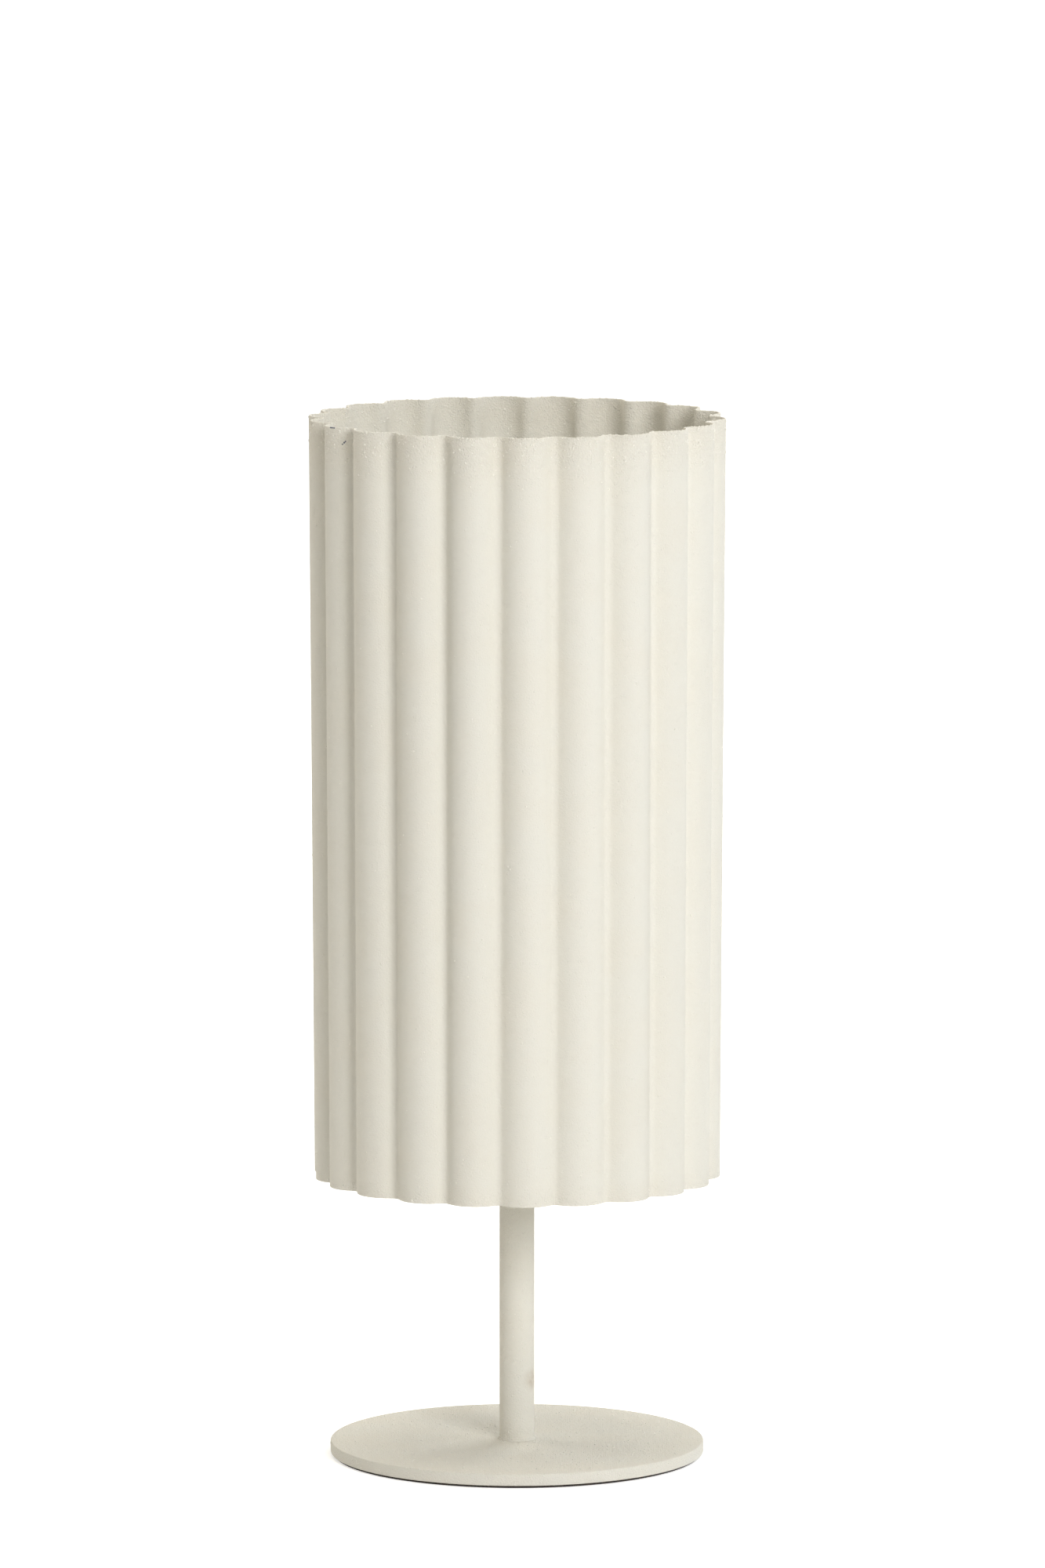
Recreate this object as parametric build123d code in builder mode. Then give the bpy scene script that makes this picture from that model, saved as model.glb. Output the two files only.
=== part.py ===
"""Table lamp: a tall ribbed sheet-steel shade on a thin tube stem and a round steel foot.

Millimetres. +Z is up, the origin is on the table under the stem, and the front is -Y.
The shade is a closed tube of ribbed sheet, open at both ends. A laser-cut wheel inside it
is clamped on the stem's top by a lamp nut, and the lampholder stands on that nut.
"""

from build123d import *

import os
from math import asin, atan2, cos, degrees, pi, radians, sin, sqrt, tan

# Foot
base_diameter = 171.0
base_thickness = 5.5
base_edge_chamfer = 0.6
pad_thickness = 1.2
pad_inset = 1.6

# Stem
stem_diameter = 16.0
stem_wall = 1.2
stem_length = 163.0
foot_bush_length = 16.0
top_bush_length = 12.0
press_gap = 0.05
bush_chamfer = 0.8

# Screw that holds the stem on the foot
base_screw_diameter = 8.0
base_screw_head = 15.0
base_screw_length = 16.0
base_screw_key = 5.0
screw_hole_gap = 0.25
key_depth = 2.6

# Cable inlet at the back of the stem
inlet_bore = 6.0
inlet_wall = 1.1
inlet_lip = 1.3
inlet_lip_thickness = 1.0
inlet_above_bush = 8.0
inlet_gap = 0.1

# Ribbed shade: the radii are over the rib crests
rim_radius = 95.0
foot_radius = 93.0
shade_height = 348.5
sheet = 1.0
rib_count = 22
rib_depth = 4.6
rib_valley_radius = 4.2
rib_phase = 2.0  # degrees from the front to the nearest crest, towards +X

# Wheel that carries the shade
wheel_inset = 40.2  # from the shade's lower edge up to the wheel
wheel_thickness = 2.5
wheel_gap = 0.1
wheel_rim_width = 8.0
wheel_hub_radius = 20.0
spoke_width = 12.0
spoke_count = 3
first_spoke = 90.0  # degrees from +X, so one spoke points to the back
spoke_root_radius = 5.0
tack_leg = 3.0
tack_length = 5.0
tack_count = 6

# Lamp nipple with its nut and washer
nipple_diameter = 10.0
nipple_bore = 8.0
nipple_in_bush = 10.0
nipple_in_holder = 8.0
nipple_chamfer = 0.4
thread_gap = 0.1
washer_diameter = 21.0
washer_thickness = 1.5
washer_chamfer = 0.3
nut_flats = 14.0
nut_thickness = 3.5

# Lampholder, heights above its lower end
neck_radius = 8.5
neck_height = 7.0
holder_radius = 17.5
holder_wall = 2.3
cap_height = 20.0
shoulder_share = 0.45  # of the height between the neck and the cap's top
spigot_height = 5.0
spigot_gap = 0.15
insert_thickness = 8.0
insert_chamfer = 0.5
holder_height = 56.0
holder_collar_radius = 19.8
holder_collar_height = 3.0
holder_bore = 27.2
grip_rib_count = 24
grip_rib_width = 1.6
grip_rib_height = 0.8
grip_margin = 1.5
lock_screw_diameter = 3.0

# Contacts and terminals
contact_strip = 0.5
contact_width = 6.0
contact_rise = 2.0
side_contact_height = 14.0
terminal_size = 5.0
terminal_drop = 6.5
terminal_spread = 6.5
terminal_hole_share = 0.6  # of the block's drop below the insert
terminal_screw_diameter = 3.0
terminal_screw_head = 5.0

# Bulb with its screw cap
bulb_seat_gap = 0.1
bulb_diameter = 30.0
bulb_length = 110.0
glass_wall = 0.9
shell_diameter = 25.8
shell_wall = 0.4
shell_start = 5.0  # above the bulb's lowest point
shell_height = 20.0
shell_flare = 1.1
eyelet_radius = 4.6
eyelet_height = 1.4
insulator_gap = 0.1
bulb_shoulder_height = 12.0
filament_count = 4
filament_diameter = 1.8
filament_length = 52.0
filament_foot_circle = 8.0
filament_top_circle = 5.0
mount_radius = 4.5
mount_flare_height = 10.0
mount_height = 22.0
mount_taper = 0.7
lead_diameter = 0.7
lead_rise = 4.0
lead_root_share = 0.8  # of the mount's radius
lead_gap = 0.5
hub_gap = 0.3

# Places worked out from the sizes above
base_bottom = pad_thickness
base_top = base_bottom + base_thickness
stem_top = base_top + stem_length
stem_bore_radius = stem_diameter / 2 - stem_wall
wheel_bottom = stem_top
wheel_top = wheel_bottom + wheel_thickness
shade_bottom = wheel_bottom - wheel_inset
shade_top = shade_bottom + shade_height
washer_top = wheel_top + washer_thickness
nut_top = washer_top + nut_thickness
holder_bottom = nut_top
cap_top = holder_bottom + cap_height
insert_bottom = cap_top + spigot_height
insert_top = insert_bottom + insert_thickness
holder_top = holder_bottom + holder_height
contact_top = insert_top + contact_rise
bulb_bottom = contact_top + bulb_seat_gap
rib_half_pitch = pi / rib_count
front = -90.0  # the direction of the front, in degrees from +X

os.makedirs("parts", exist_ok=True)


def save(builder, name):
    """Labels a finished piece and writes it as its own STEP file."""
    builder.part.label = name
    export_step(builder.part, f"parts/{name}.step")


def crest_radius(height):
    """Radius over the crests at a height, because the shade narrows a little downwards."""
    share = (height - shade_bottom) / shade_height
    return foot_radius + (rim_radius - foot_radius) * share


def rib_outline(radius, inward):
    """Closed ribbed outline of tangent arcs, offset inward from the sheet's outer face."""
    valley = radius - rib_depth
    valley_centre = valley + rib_valley_radius
    lean = cos(rib_half_pitch)
    # Radius of the nose arc that is tangent to the valley arcs on both sides
    spread = radius**2 + valley_centre**2 - 2 * radius * valley_centre * lean
    nose_radius = (spread - rib_valley_radius**2) / (
        2 * (radius + rib_valley_radius - valley_centre * lean)
    )
    nose_centre = radius - nose_radius
    across = valley_centre * sin(rib_half_pitch)
    along = valley_centre * lean - nose_centre
    flank = atan2(across, along)
    nose = nose_radius - inward
    flank_x = nose_centre + nose * cos(flank)
    flank_y = nose * sin(flank)
    flank_radius = sqrt(flank_x**2 + flank_y**2)
    flank_angle = degrees(asin(flank_y / flank_radius))

    def polar(distance, angle):
        return Vector(distance * cos(radians(angle)), distance * sin(radians(angle)))

    pitch = 360 / rib_count
    for rib in range(rib_count):
        crest = front + rib_phase + rib * pitch
        start = polar(flank_radius, crest - flank_angle)
        end = polar(flank_radius, crest + flank_angle)
        following = polar(flank_radius, crest + pitch - flank_angle)
        ThreePointArc(start, polar(radius - inward, crest), end)
        ThreePointArc(end, polar(valley - inward, crest + pitch / 2), following)


# Felt pad under the foot
with BuildPart() as base_pad:
    with BuildSketch():
        Circle(base_diameter / 2 - pad_inset)
    extrude(amount=pad_thickness)
save(base_pad, "base_pad")

# Round steel foot with a countersunk hole from below
with BuildPart() as base_plate:
    with BuildSketch(Plane.XY.offset(base_bottom)):
        Circle(base_diameter / 2)
    extrude(amount=base_thickness)
    chamfer(base_plate.edges().filter_by(GeomType.CIRCLE), base_edge_chamfer)
    with Locations(Plane.XY.offset(base_bottom).rotated((180, 0, 0))):
        CounterSinkHole(
            base_screw_diameter / 2 + screw_hole_gap,
            base_screw_head / 2 + screw_hole_gap,
        )
save(base_plate, "base_plate")

# Countersunk screw through the foot into the stem's bush
with BuildPart() as base_screw:
    head_height = (base_screw_head - base_screw_diameter) / 2
    with BuildSketch(Plane.XZ):
        with BuildLine():
            Polyline(
                (0, base_bottom),
                (base_screw_head / 2, base_bottom),
                (base_screw_diameter / 2, base_bottom + head_height),
                (base_screw_diameter / 2, base_bottom + base_screw_length),
                (0, base_bottom + base_screw_length),
                close=True,
            )
        make_face()
    revolve(axis=Axis.Z)
    with BuildSketch(Plane.XY.offset(base_bottom)):
        RegularPolygon(base_screw_key / 2, 6, major_radius=False)
    extrude(amount=key_depth, mode=Mode.SUBTRACT)
save(base_screw, "base_screw")

# Threaded bush in the stem's lower end
with BuildPart() as stem_foot_bush:
    with BuildSketch(Plane.XY.offset(base_top)):
        Circle(stem_bore_radius - press_gap)
        Circle(base_screw_diameter / 2 + thread_gap, mode=Mode.SUBTRACT)
    extrude(amount=foot_bush_length)
    outer_rims = stem_foot_bush.edges().filter_by(GeomType.CIRCLE)
    chamfer(outer_rims.group_by(SortBy.RADIUS)[-1].sort_by(Axis.Z)[-1], bush_chamfer)
save(stem_foot_bush, "stem_foot_bush")

# Stem tube with the cable hole at the back
inlet_height = base_top + foot_bush_length + inlet_above_bush
inlet_plane = Plane(origin=(0, 0, inlet_height), x_dir=(-1, 0, 0), z_dir=(0, 1, 0))
inlet_sleeve_radius = inlet_bore / 2 + inlet_wall
with BuildPart() as stem_tube:
    with BuildSketch(Plane.XY.offset(base_top)):
        Circle(stem_diameter / 2)
        Circle(stem_bore_radius, mode=Mode.SUBTRACT)
    extrude(amount=stem_length)
    with BuildSketch(inlet_plane):
        Circle(inlet_sleeve_radius + inlet_gap)
    extrude(amount=stem_diameter, mode=Mode.SUBTRACT)
save(stem_tube, "stem_tube")

# Rubber grommet: a sleeve through the wall with a saddle-shaped lip on each side
with BuildPart() as cable_grommet:
    lip_radius = inlet_sleeve_radius + inlet_lip
    outer_seat = stem_diameter / 2 + inlet_gap / 2
    inner_seat = stem_bore_radius - inlet_gap / 2
    with BuildSketch(inlet_plane):
        Circle(lip_radius)
    extrude(amount=stem_diameter)
    with BuildSketch(Plane.XY.offset(base_top)):
        Circle(outer_seat + inlet_lip_thickness)
        Circle(inner_seat - inlet_lip_thickness, mode=Mode.SUBTRACT)
    extrude(amount=stem_length, mode=Mode.INTERSECT)
    with BuildSketch(Plane.XY.offset(base_top)):
        Circle(outer_seat)
        Circle(inner_seat, mode=Mode.SUBTRACT)
    extrude(amount=stem_length, mode=Mode.SUBTRACT)
    with BuildSketch(inlet_plane.offset(stem_bore_radius - inlet_wall)):
        Circle(inlet_sleeve_radius)
    extrude(amount=stem_wall + 1.5 * inlet_wall)
    with BuildSketch(inlet_plane):
        Circle(inlet_bore / 2)
    extrude(amount=stem_diameter, mode=Mode.SUBTRACT)
save(cable_grommet, "cable_grommet")

# Threaded bush in the stem's upper end
with BuildPart() as stem_top_bush:
    with BuildSketch(Plane.XY.offset(stem_top - top_bush_length)):
        Circle(stem_bore_radius - press_gap)
        Circle(nipple_diameter / 2 + thread_gap, mode=Mode.SUBTRACT)
    extrude(amount=top_bush_length)
    outer_rims = stem_top_bush.edges().filter_by(GeomType.CIRCLE)
    chamfer(outer_rims.group_by(SortBy.RADIUS)[-1].sort_by(Axis.Z)[0], bush_chamfer)
save(stem_top_bush, "stem_top_bush")

# Hollow threaded nipple through the wheel, the nut and the lampholder's neck
with BuildPart() as lamp_nipple:
    with BuildSketch(Plane.XY.offset(stem_top - nipple_in_bush)):
        Circle(nipple_diameter / 2)
        Circle(nipple_bore / 2, mode=Mode.SUBTRACT)
    extrude(amount=nut_top + nipple_in_holder - stem_top + nipple_in_bush)
    chamfer(lamp_nipple.edges().filter_by(GeomType.CIRCLE).group_by(SortBy.RADIUS)[-1], nipple_chamfer)
save(lamp_nipple, "lamp_nipple")

# Ribbed shade, lofted between its lower and upper outlines
with BuildPart() as shade:
    for inward, mode in ((0.0, Mode.ADD), (sheet, Mode.SUBTRACT)):
        for height in (shade_bottom, shade_top):
            with BuildSketch(Plane.XY.offset(height)):
                with BuildLine():
                    rib_outline(crest_radius(height), inward)
                make_face()
        loft(ruled=True, mode=mode)
save(shade, "shade")

# Wheel that carries the shade, welded to the valleys inside it
wheel_radius = crest_radius(wheel_bottom) - rib_depth - sheet - wheel_gap
window_radius = wheel_radius - wheel_rim_width
with BuildPart() as shade_wheel:
    with BuildSketch(Plane.XY.offset(wheel_bottom)):
        Circle(wheel_radius)
        Circle(window_radius, mode=Mode.SUBTRACT)
        Circle(wheel_hub_radius)
        spoke_length = window_radius + wheel_rim_width / 2
        with PolarLocations(spoke_length / 2, spoke_count, start_angle=first_spoke):
            Rectangle(spoke_length, spoke_width)
        Circle(nipple_diameter / 2 + 2 * thread_gap, mode=Mode.SUBTRACT)
    extrude(amount=wheel_thickness)
    corners = shade_wheel.edges().filter_by(Axis.Z)
    fillet(corners, spoke_root_radius)
save(shade_wheel, "shade_wheel")

# Tack welds under the wheel's rim, each in a valley
with BuildPart() as wheel_tacks:
    pitch = 360 / rib_count
    first_valley = front + rib_phase + pitch / 2
    tack_valleys = [round(tack * rib_count / tack_count) for tack in range(tack_count)]
    sweep_angle = degrees(tack_length / wheel_radius)
    for valley in tack_valleys:
        turn = first_valley + valley * pitch - sweep_angle / 2
        with BuildSketch(Plane.XZ.rotated((0, 0, turn))):
            with BuildLine():
                Polyline(
                    (wheel_radius, wheel_bottom),
                    (wheel_radius - tack_leg, wheel_bottom),
                    (wheel_radius, wheel_bottom - tack_leg),
                    close=True,
                )
            make_face()
        revolve(axis=Axis.Z, revolution_arc=sweep_angle)
save(wheel_tacks, "wheel_tacks")

# Washer and nut that clamp the wheel on the stem
with BuildPart() as clamp_washer:
    with BuildSketch(Plane.XY.offset(wheel_top)):
        Circle(washer_diameter / 2)
        Circle(nipple_diameter / 2 + 2 * thread_gap, mode=Mode.SUBTRACT)
    extrude(amount=washer_thickness)
    washer_rims = clamp_washer.edges().filter_by(GeomType.CIRCLE).group_by(SortBy.RADIUS)[-1]
    chamfer(washer_rims.sort_by(Axis.Z)[-1], washer_chamfer)
save(clamp_washer, "clamp_washer")

with BuildPart() as clamp_nut:
    with BuildSketch(Plane.XY.offset(washer_top)):
        RegularPolygon(nut_flats / 2, 6, major_radius=False)
        Circle(nipple_diameter / 2 + thread_gap, mode=Mode.SUBTRACT)
    extrude(amount=nut_thickness)
    # The corners are turned off at 30 degrees on both faces
    corner_radius = nut_flats / sqrt(3)
    turned = corner_radius - nut_flats / 2
    with BuildSketch(Plane.XZ):
        with BuildLine():
            Polyline(
                (0, washer_top),
                (nut_flats / 2, washer_top),
                (corner_radius, washer_top + turned / sqrt(3)),
                (corner_radius, nut_top - turned / sqrt(3)),
                (nut_flats / 2, nut_top),
                (0, nut_top),
                close=True,
            )
        make_face()
    revolve(axis=Axis.Z, mode=Mode.INTERSECT)
save(clamp_nut, "clamp_nut")

# Lampholder cap: neck, domed shoulder, grip ribs and a spigot for the body
cavity_radius = holder_radius - 2 * holder_wall
spigot_radius = holder_radius - holder_wall
with BuildPart() as holder_cap:
    with BuildSketch(Plane.XZ):
        with BuildLine():
            neck_top = holder_bottom + neck_height
            shoulder_top = neck_top + shoulder_share * (cap_height - neck_height)
            Polyline((0, holder_bottom), (neck_radius, holder_bottom), (neck_radius, neck_top))
            TangentArc(
                (neck_radius, neck_top),
                (holder_radius, shoulder_top),
                tangent=(0.9, 0.1),
            )
            Polyline(
                (holder_radius, shoulder_top),
                (holder_radius, cap_top),
                (spigot_radius, cap_top),
                (spigot_radius, insert_bottom),
                (cavity_radius, insert_bottom),
                (cavity_radius, neck_top + holder_wall),
                (0, neck_top + holder_wall),
                (0, holder_bottom),
            )
        make_face()
    revolve(axis=Axis.Z)
    with Locations((0, 0, holder_bottom)):
        Hole(nipple_diameter / 2 + thread_gap)
    grip_height = cap_top - shoulder_top - 2 * grip_margin
    with BuildSketch(Plane.XY.offset(shoulder_top + grip_margin)):
        with PolarLocations(holder_radius, grip_rib_count):
            Rectangle(2 * grip_rib_height, grip_rib_width)
    extrude(amount=grip_height)
    lock_plane = Plane(
        origin=(0, 0, holder_bottom + neck_height / 2), x_dir=(1, 0, 0), z_dir=(0, 1, 0)
    )
    with BuildSketch(lock_plane):
        Circle(lock_screw_diameter / 2 + thread_gap)
    extrude(amount=2 * neck_radius, mode=Mode.SUBTRACT)
save(holder_cap, "holder_cap")

# Grub screw that locks the lampholder on the nipple
with BuildPart() as holder_lock_screw:
    with BuildSketch(lock_plane.offset(nipple_diameter / 2)):
        Circle(lock_screw_diameter / 2)
    extrude(amount=neck_radius - nipple_diameter / 2)
    with BuildSketch(lock_plane.offset(neck_radius)):
        Rectangle(lock_screw_diameter, lock_screw_diameter / 5)
    extrude(amount=-lock_screw_diameter / 3, mode=Mode.SUBTRACT)
save(holder_lock_screw, "holder_lock_screw")

# Lampholder insert that carries the contacts
with BuildPart() as holder_insert:
    with BuildSketch(Plane.XY.offset(insert_bottom)):
        Circle(spigot_radius)
    extrude(amount=insert_thickness)
    with BuildSketch(Plane.XY.offset(insert_bottom)):
        with GridLocations(2 * terminal_spread, 0, 2, 1):
            Rectangle(terminal_size, terminal_size)
    extrude(amount=insert_thickness / 2, mode=Mode.SUBTRACT)
    insert_rims = holder_insert.edges().filter_by(GeomType.CIRCLE).group_by(SortBy.RADIUS)[-1]
    chamfer(insert_rims.sort_by(Axis.Z)[-1], insert_chamfer)
save(holder_insert, "holder_insert")

# Two terminal blocks in the insert, each with a cross hole for a conductor
with BuildPart() as holder_terminals:
    terminal_bottom = insert_bottom - terminal_drop
    block = terminal_size - 2 * thread_gap
    with BuildSketch(Plane.XY.offset(terminal_bottom)):
        with GridLocations(2 * terminal_spread, 0, 2, 1):
            Rectangle(block, block)
    extrude(amount=terminal_drop + insert_thickness / 2 - thread_gap)
    with BuildSketch(Plane.YZ.offset(-2 * terminal_spread)):
        with Locations((0, terminal_bottom + terminal_drop * terminal_hole_share)):
            Circle(terminal_size / 4)
    extrude(amount=4 * terminal_spread, mode=Mode.SUBTRACT)
    with BuildSketch(Plane.XY.offset(terminal_bottom)):
        with GridLocations(2 * terminal_spread, 0, 2, 1):
            Circle(terminal_screw_diameter / 2 + thread_gap)
    extrude(amount=terminal_drop * terminal_hole_share, mode=Mode.SUBTRACT)
save(holder_terminals, "holder_terminals")

with BuildPart() as terminal_screws:
    head_height = terminal_screw_diameter / 2
    with BuildSketch(Plane.XY.offset(terminal_bottom - head_height)):
        with GridLocations(2 * terminal_spread, 0, 2, 1):
            Circle(terminal_screw_head / 2)
    extrude(amount=head_height)
    with BuildSketch(Plane.XY.offset(terminal_bottom)):
        with GridLocations(2 * terminal_spread, 0, 2, 1):
            Circle(terminal_screw_diameter / 2)
    extrude(amount=terminal_drop / 3)
    with BuildSketch(Plane.XY.offset(terminal_bottom - head_height)):
        with GridLocations(2 * terminal_spread, 0, 2, 1):
            Rectangle(terminal_screw_head, terminal_screw_head / 6)
    extrude(amount=head_height / 2, mode=Mode.SUBTRACT)
save(terminal_screws, "terminal_screws")

# Sprung centre contact: a strip on the insert, raised under the bulb's eyelet
with BuildPart() as centre_contact:
    with BuildSketch(Plane.XZ):
        with BuildLine():
            reach = terminal_spread + terminal_size / 2
            Polyline(
                (-reach, insert_top),
                (-terminal_spread + contact_strip, insert_top),
                (-eyelet_radius + contact_strip, contact_top - contact_strip),
                (eyelet_radius, contact_top - contact_strip),
                (eyelet_radius, contact_top),
                (-eyelet_radius, contact_top),
                (-terminal_spread, insert_top + contact_strip),
                (-reach, insert_top + contact_strip),
                close=True,
            )
        make_face()
    extrude(amount=contact_width / 2, both=True)
save(centre_contact, "centre_contact")

# Side contact: a curved strip up the bore's wall
with BuildPart() as side_contact:
    strip_outer = holder_bore / 2 - press_gap
    with BuildSketch(Plane.XY.offset(insert_top)):
        Circle(strip_outer)
        Circle(strip_outer - contact_strip, mode=Mode.SUBTRACT)
        with Locations((holder_bore / 2, 0)):
            Rectangle(holder_bore / 2, contact_width, mode=Mode.INTERSECT)
    extrude(amount=side_contact_height)
save(side_contact, "side_contact")

# Lampholder body: grip ribs, collar and skirt round the bore for the bulb's cap
with BuildPart() as holder_body:
    with BuildSketch(Plane.XZ):
        with BuildLine():
            collar_bottom = insert_top - holder_collar_height / 2
            collar_top = collar_bottom + holder_collar_height
            recess_radius = spigot_radius + spigot_gap
            Polyline(
                (recess_radius, cap_top),
                (holder_radius, cap_top),
                (holder_radius, collar_bottom),
                (holder_collar_radius, collar_bottom),
                (holder_collar_radius, collar_top),
                (holder_radius, collar_top),
                (holder_radius, holder_top),
                (holder_bore / 2, holder_top),
                (holder_bore / 2, insert_top),
                (recess_radius, insert_top),
                close=True,
            )
        make_face()
    revolve(axis=Axis.Z)
    collar_rims = holder_body.edges().filter_by(GeomType.CIRCLE).group_by(SortBy.RADIUS)[-1]
    chamfer(collar_rims, holder_collar_height / 4)
    mouth = holder_body.faces().sort_by(Axis.Z)[-1]
    chamfer(mouth.edges(), holder_wall / 4)
    with BuildSketch(Plane.XY.offset(cap_top + grip_margin)):
        with PolarLocations(holder_radius, grip_rib_count):
            Rectangle(2 * grip_rib_height, grip_rib_width)
    extrude(amount=collar_bottom - cap_top - 2 * grip_margin)
save(holder_body, "holder_body")

# Bulb: eyelet, insulator and screw shell, plain where the real shell is rolled to a thread
shell_bottom = bulb_bottom + shell_start
shell_top = shell_bottom + shell_height
shell_radius = shell_diameter / 2
with BuildPart() as bulb_eyelet:
    with BuildSketch(Plane.XY.offset(bulb_bottom)):
        Circle(eyelet_radius)
    extrude(amount=eyelet_height)
    chamfer(bulb_eyelet.edges().sort_by(Axis.Z)[0], eyelet_height / 3)
save(bulb_eyelet, "bulb_eyelet")

shell_bevel = shell_flare + insulator_gap


def bevel_foot(inward):
    """Lower bevel of the screw shell, as two points offset inward from its outer face."""
    return (
        (shell_radius - shell_bevel - inward * sqrt(2), shell_bottom),
        (shell_radius - inward, shell_bottom + shell_bevel + inward * tan(pi / 8)),
    )


with BuildPart() as bulb_insulator:
    eyelet_top = bulb_bottom + eyelet_height
    insulator_inset = shell_wall + insulator_gap
    bevel_bottom, bevel_top = bevel_foot(insulator_inset)
    insulator_top = shell_bottom + 3 * shell_flare
    with BuildSketch(Plane.XZ):
        with BuildLine():
            Polyline(
                (0, eyelet_top + insulator_gap),
                (eyelet_radius + insulator_gap, eyelet_top + insulator_gap),
                (eyelet_radius + insulator_gap, eyelet_top - insulator_gap),
                (eyelet_radius + eyelet_height, eyelet_top - insulator_gap),
                bevel_bottom,
                bevel_top,
                (bevel_top[0], insulator_top),
                (0, insulator_top),
                close=True,
            )
        make_face()
    revolve(axis=Axis.Z)
save(bulb_insulator, "bulb_insulator")

with BuildPart() as bulb_shell:
    outer_foot = bevel_foot(0)
    inner_foot = bevel_foot(shell_wall)
    with BuildSketch(Plane.XZ):
        with BuildLine():
            Polyline(
                *outer_foot,
                (shell_radius, shell_top - shell_flare),
                (shell_radius + shell_flare, shell_top),
                (shell_radius + shell_flare - shell_wall, shell_top),
                (shell_radius - shell_wall, shell_top - shell_flare),
                *reversed(inner_foot),
                close=True,
            )
        make_face()
    revolve(axis=Axis.Z)
save(bulb_shell, "bulb_shell")

# Glass envelope: a tube with a domed top, drawn in at the neck
glass_radius = bulb_diameter / 2
dome_bottom = bulb_bottom + bulb_length - glass_radius
neck_foot = shell_top - shell_height / 3
glass_neck_radius = shell_radius - shell_wall - insulator_gap


def glass_section(inward):
    """Half outline of the envelope, offset inward from its outer face."""
    neck = glass_neck_radius - inward
    tube = glass_radius - inward
    slope = atan2(glass_radius - glass_neck_radius, bulb_shoulder_height)
    shoulder_bottom = shell_top + inward * tan(slope / 2)
    shoulder_top = shoulder_bottom + bulb_shoulder_height
    dome_top = dome_bottom + tube
    Polyline(
        (0, dome_top),
        (0, neck_foot),
        (neck, neck_foot),
        (neck, shoulder_bottom),
        (tube, shoulder_top),
        (tube, dome_bottom),
    )
    dome_middle = (tube * cos(pi / 4), dome_bottom + tube * sin(pi / 4))
    ThreePointArc((tube, dome_bottom), dome_middle, (0, dome_top))


with BuildPart() as bulb_glass:
    for inward, mode in ((0.0, Mode.ADD), (glass_wall, Mode.SUBTRACT)):
        with BuildSketch(Plane.XZ):
            with BuildLine():
                glass_section(inward)
            make_face()
        revolve(axis=Axis.Z, mode=mode)
save(bulb_glass, "bulb_glass")

# Glass mount inside the bulb, flared where it closes the neck
with BuildPart() as bulb_mount:
    flare_radius = glass_neck_radius - glass_wall - insulator_gap
    mount_top = shell_top + mount_height
    with BuildSketch(Plane.XZ):
        with BuildLine():
            Polyline(
                (0, neck_foot),
                (flare_radius, neck_foot),
                (flare_radius, neck_foot + glass_wall),
                (mount_radius, neck_foot + mount_flare_height),
                (mount_radius * mount_taper, mount_top),
                (0, mount_top),
                close=True,
            )
        make_face()
    revolve(axis=Axis.Z)
save(bulb_mount, "bulb_mount")

# Light-emitting filaments, leaning in towards the top
filament_bottom = mount_top - filament_length / 4
filament_top = filament_bottom + filament_length
filament_turns = [filament * 360 / filament_count + 45 for filament in range(filament_count)]


def ring_point(distance, height, turn):
    """Point at a distance from the axis, at a height and a turn in degrees."""
    return Vector(distance * cos(radians(turn)), distance * sin(radians(turn)), height)


with BuildPart() as bulb_filaments:
    for turn in filament_turns:
        foot = ring_point(filament_foot_circle, filament_bottom, turn)
        top = ring_point(filament_top_circle, filament_top, turn)
        with BuildSketch(Plane(origin=foot, z_dir=top - foot)):
            Circle(filament_diameter / 2)
        extrude(amount=(top - foot).length)
save(bulb_filaments, "bulb_filaments")

# Lead wires from the mount to the filaments' feet, and the hub at their tops
with BuildPart() as bulb_leads:
    for turn in filament_turns:
        start = ring_point(mount_radius * lead_root_share, filament_bottom - lead_rise, turn)
        foot = ring_point(filament_foot_circle, filament_bottom - lead_gap, turn)
        with BuildSketch(Plane(origin=start, z_dir=foot - start)):
            Circle(lead_diameter / 2)
        extrude(amount=(foot - start).length)
    with BuildSketch(Plane.XY.offset(filament_top + hub_gap)):
        Circle(filament_top_circle + filament_diameter / 2)
        Circle(filament_top_circle - filament_diameter / 2, mode=Mode.SUBTRACT)
    extrude(amount=lead_diameter)
    # The wires end at the mount's surface
    add(bulb_mount.part, mode=Mode.SUBTRACT)
save(bulb_leads, "bulb_leads")
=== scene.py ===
"""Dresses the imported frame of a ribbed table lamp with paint, felt, plastic, metal and glass."""

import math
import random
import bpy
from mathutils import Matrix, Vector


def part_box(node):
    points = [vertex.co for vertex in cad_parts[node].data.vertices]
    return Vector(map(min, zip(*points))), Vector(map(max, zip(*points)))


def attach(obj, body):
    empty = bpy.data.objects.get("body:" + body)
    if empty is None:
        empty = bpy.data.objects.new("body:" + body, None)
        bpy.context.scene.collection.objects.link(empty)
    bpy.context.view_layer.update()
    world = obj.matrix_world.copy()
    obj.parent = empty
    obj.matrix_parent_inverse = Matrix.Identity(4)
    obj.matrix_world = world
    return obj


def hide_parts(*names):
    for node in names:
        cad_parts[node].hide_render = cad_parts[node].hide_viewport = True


bl_info = {
    "name": "Ribbed table lamp",
    "version": (1, 0, 0),
    "blender": (4, 5, 0),
    "location": "View3D > Sidebar > Lamp",
    "description": "Builds the visible pieces of a ribbed metal table lamp round its packed frame",
    "category": "Add Mesh",
}

from functools import cache
from types import SimpleNamespace

import bpy
from bpy.props import FloatProperty, FloatVectorProperty, IntProperty, PointerProperty
from mathutils import Vector

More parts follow.
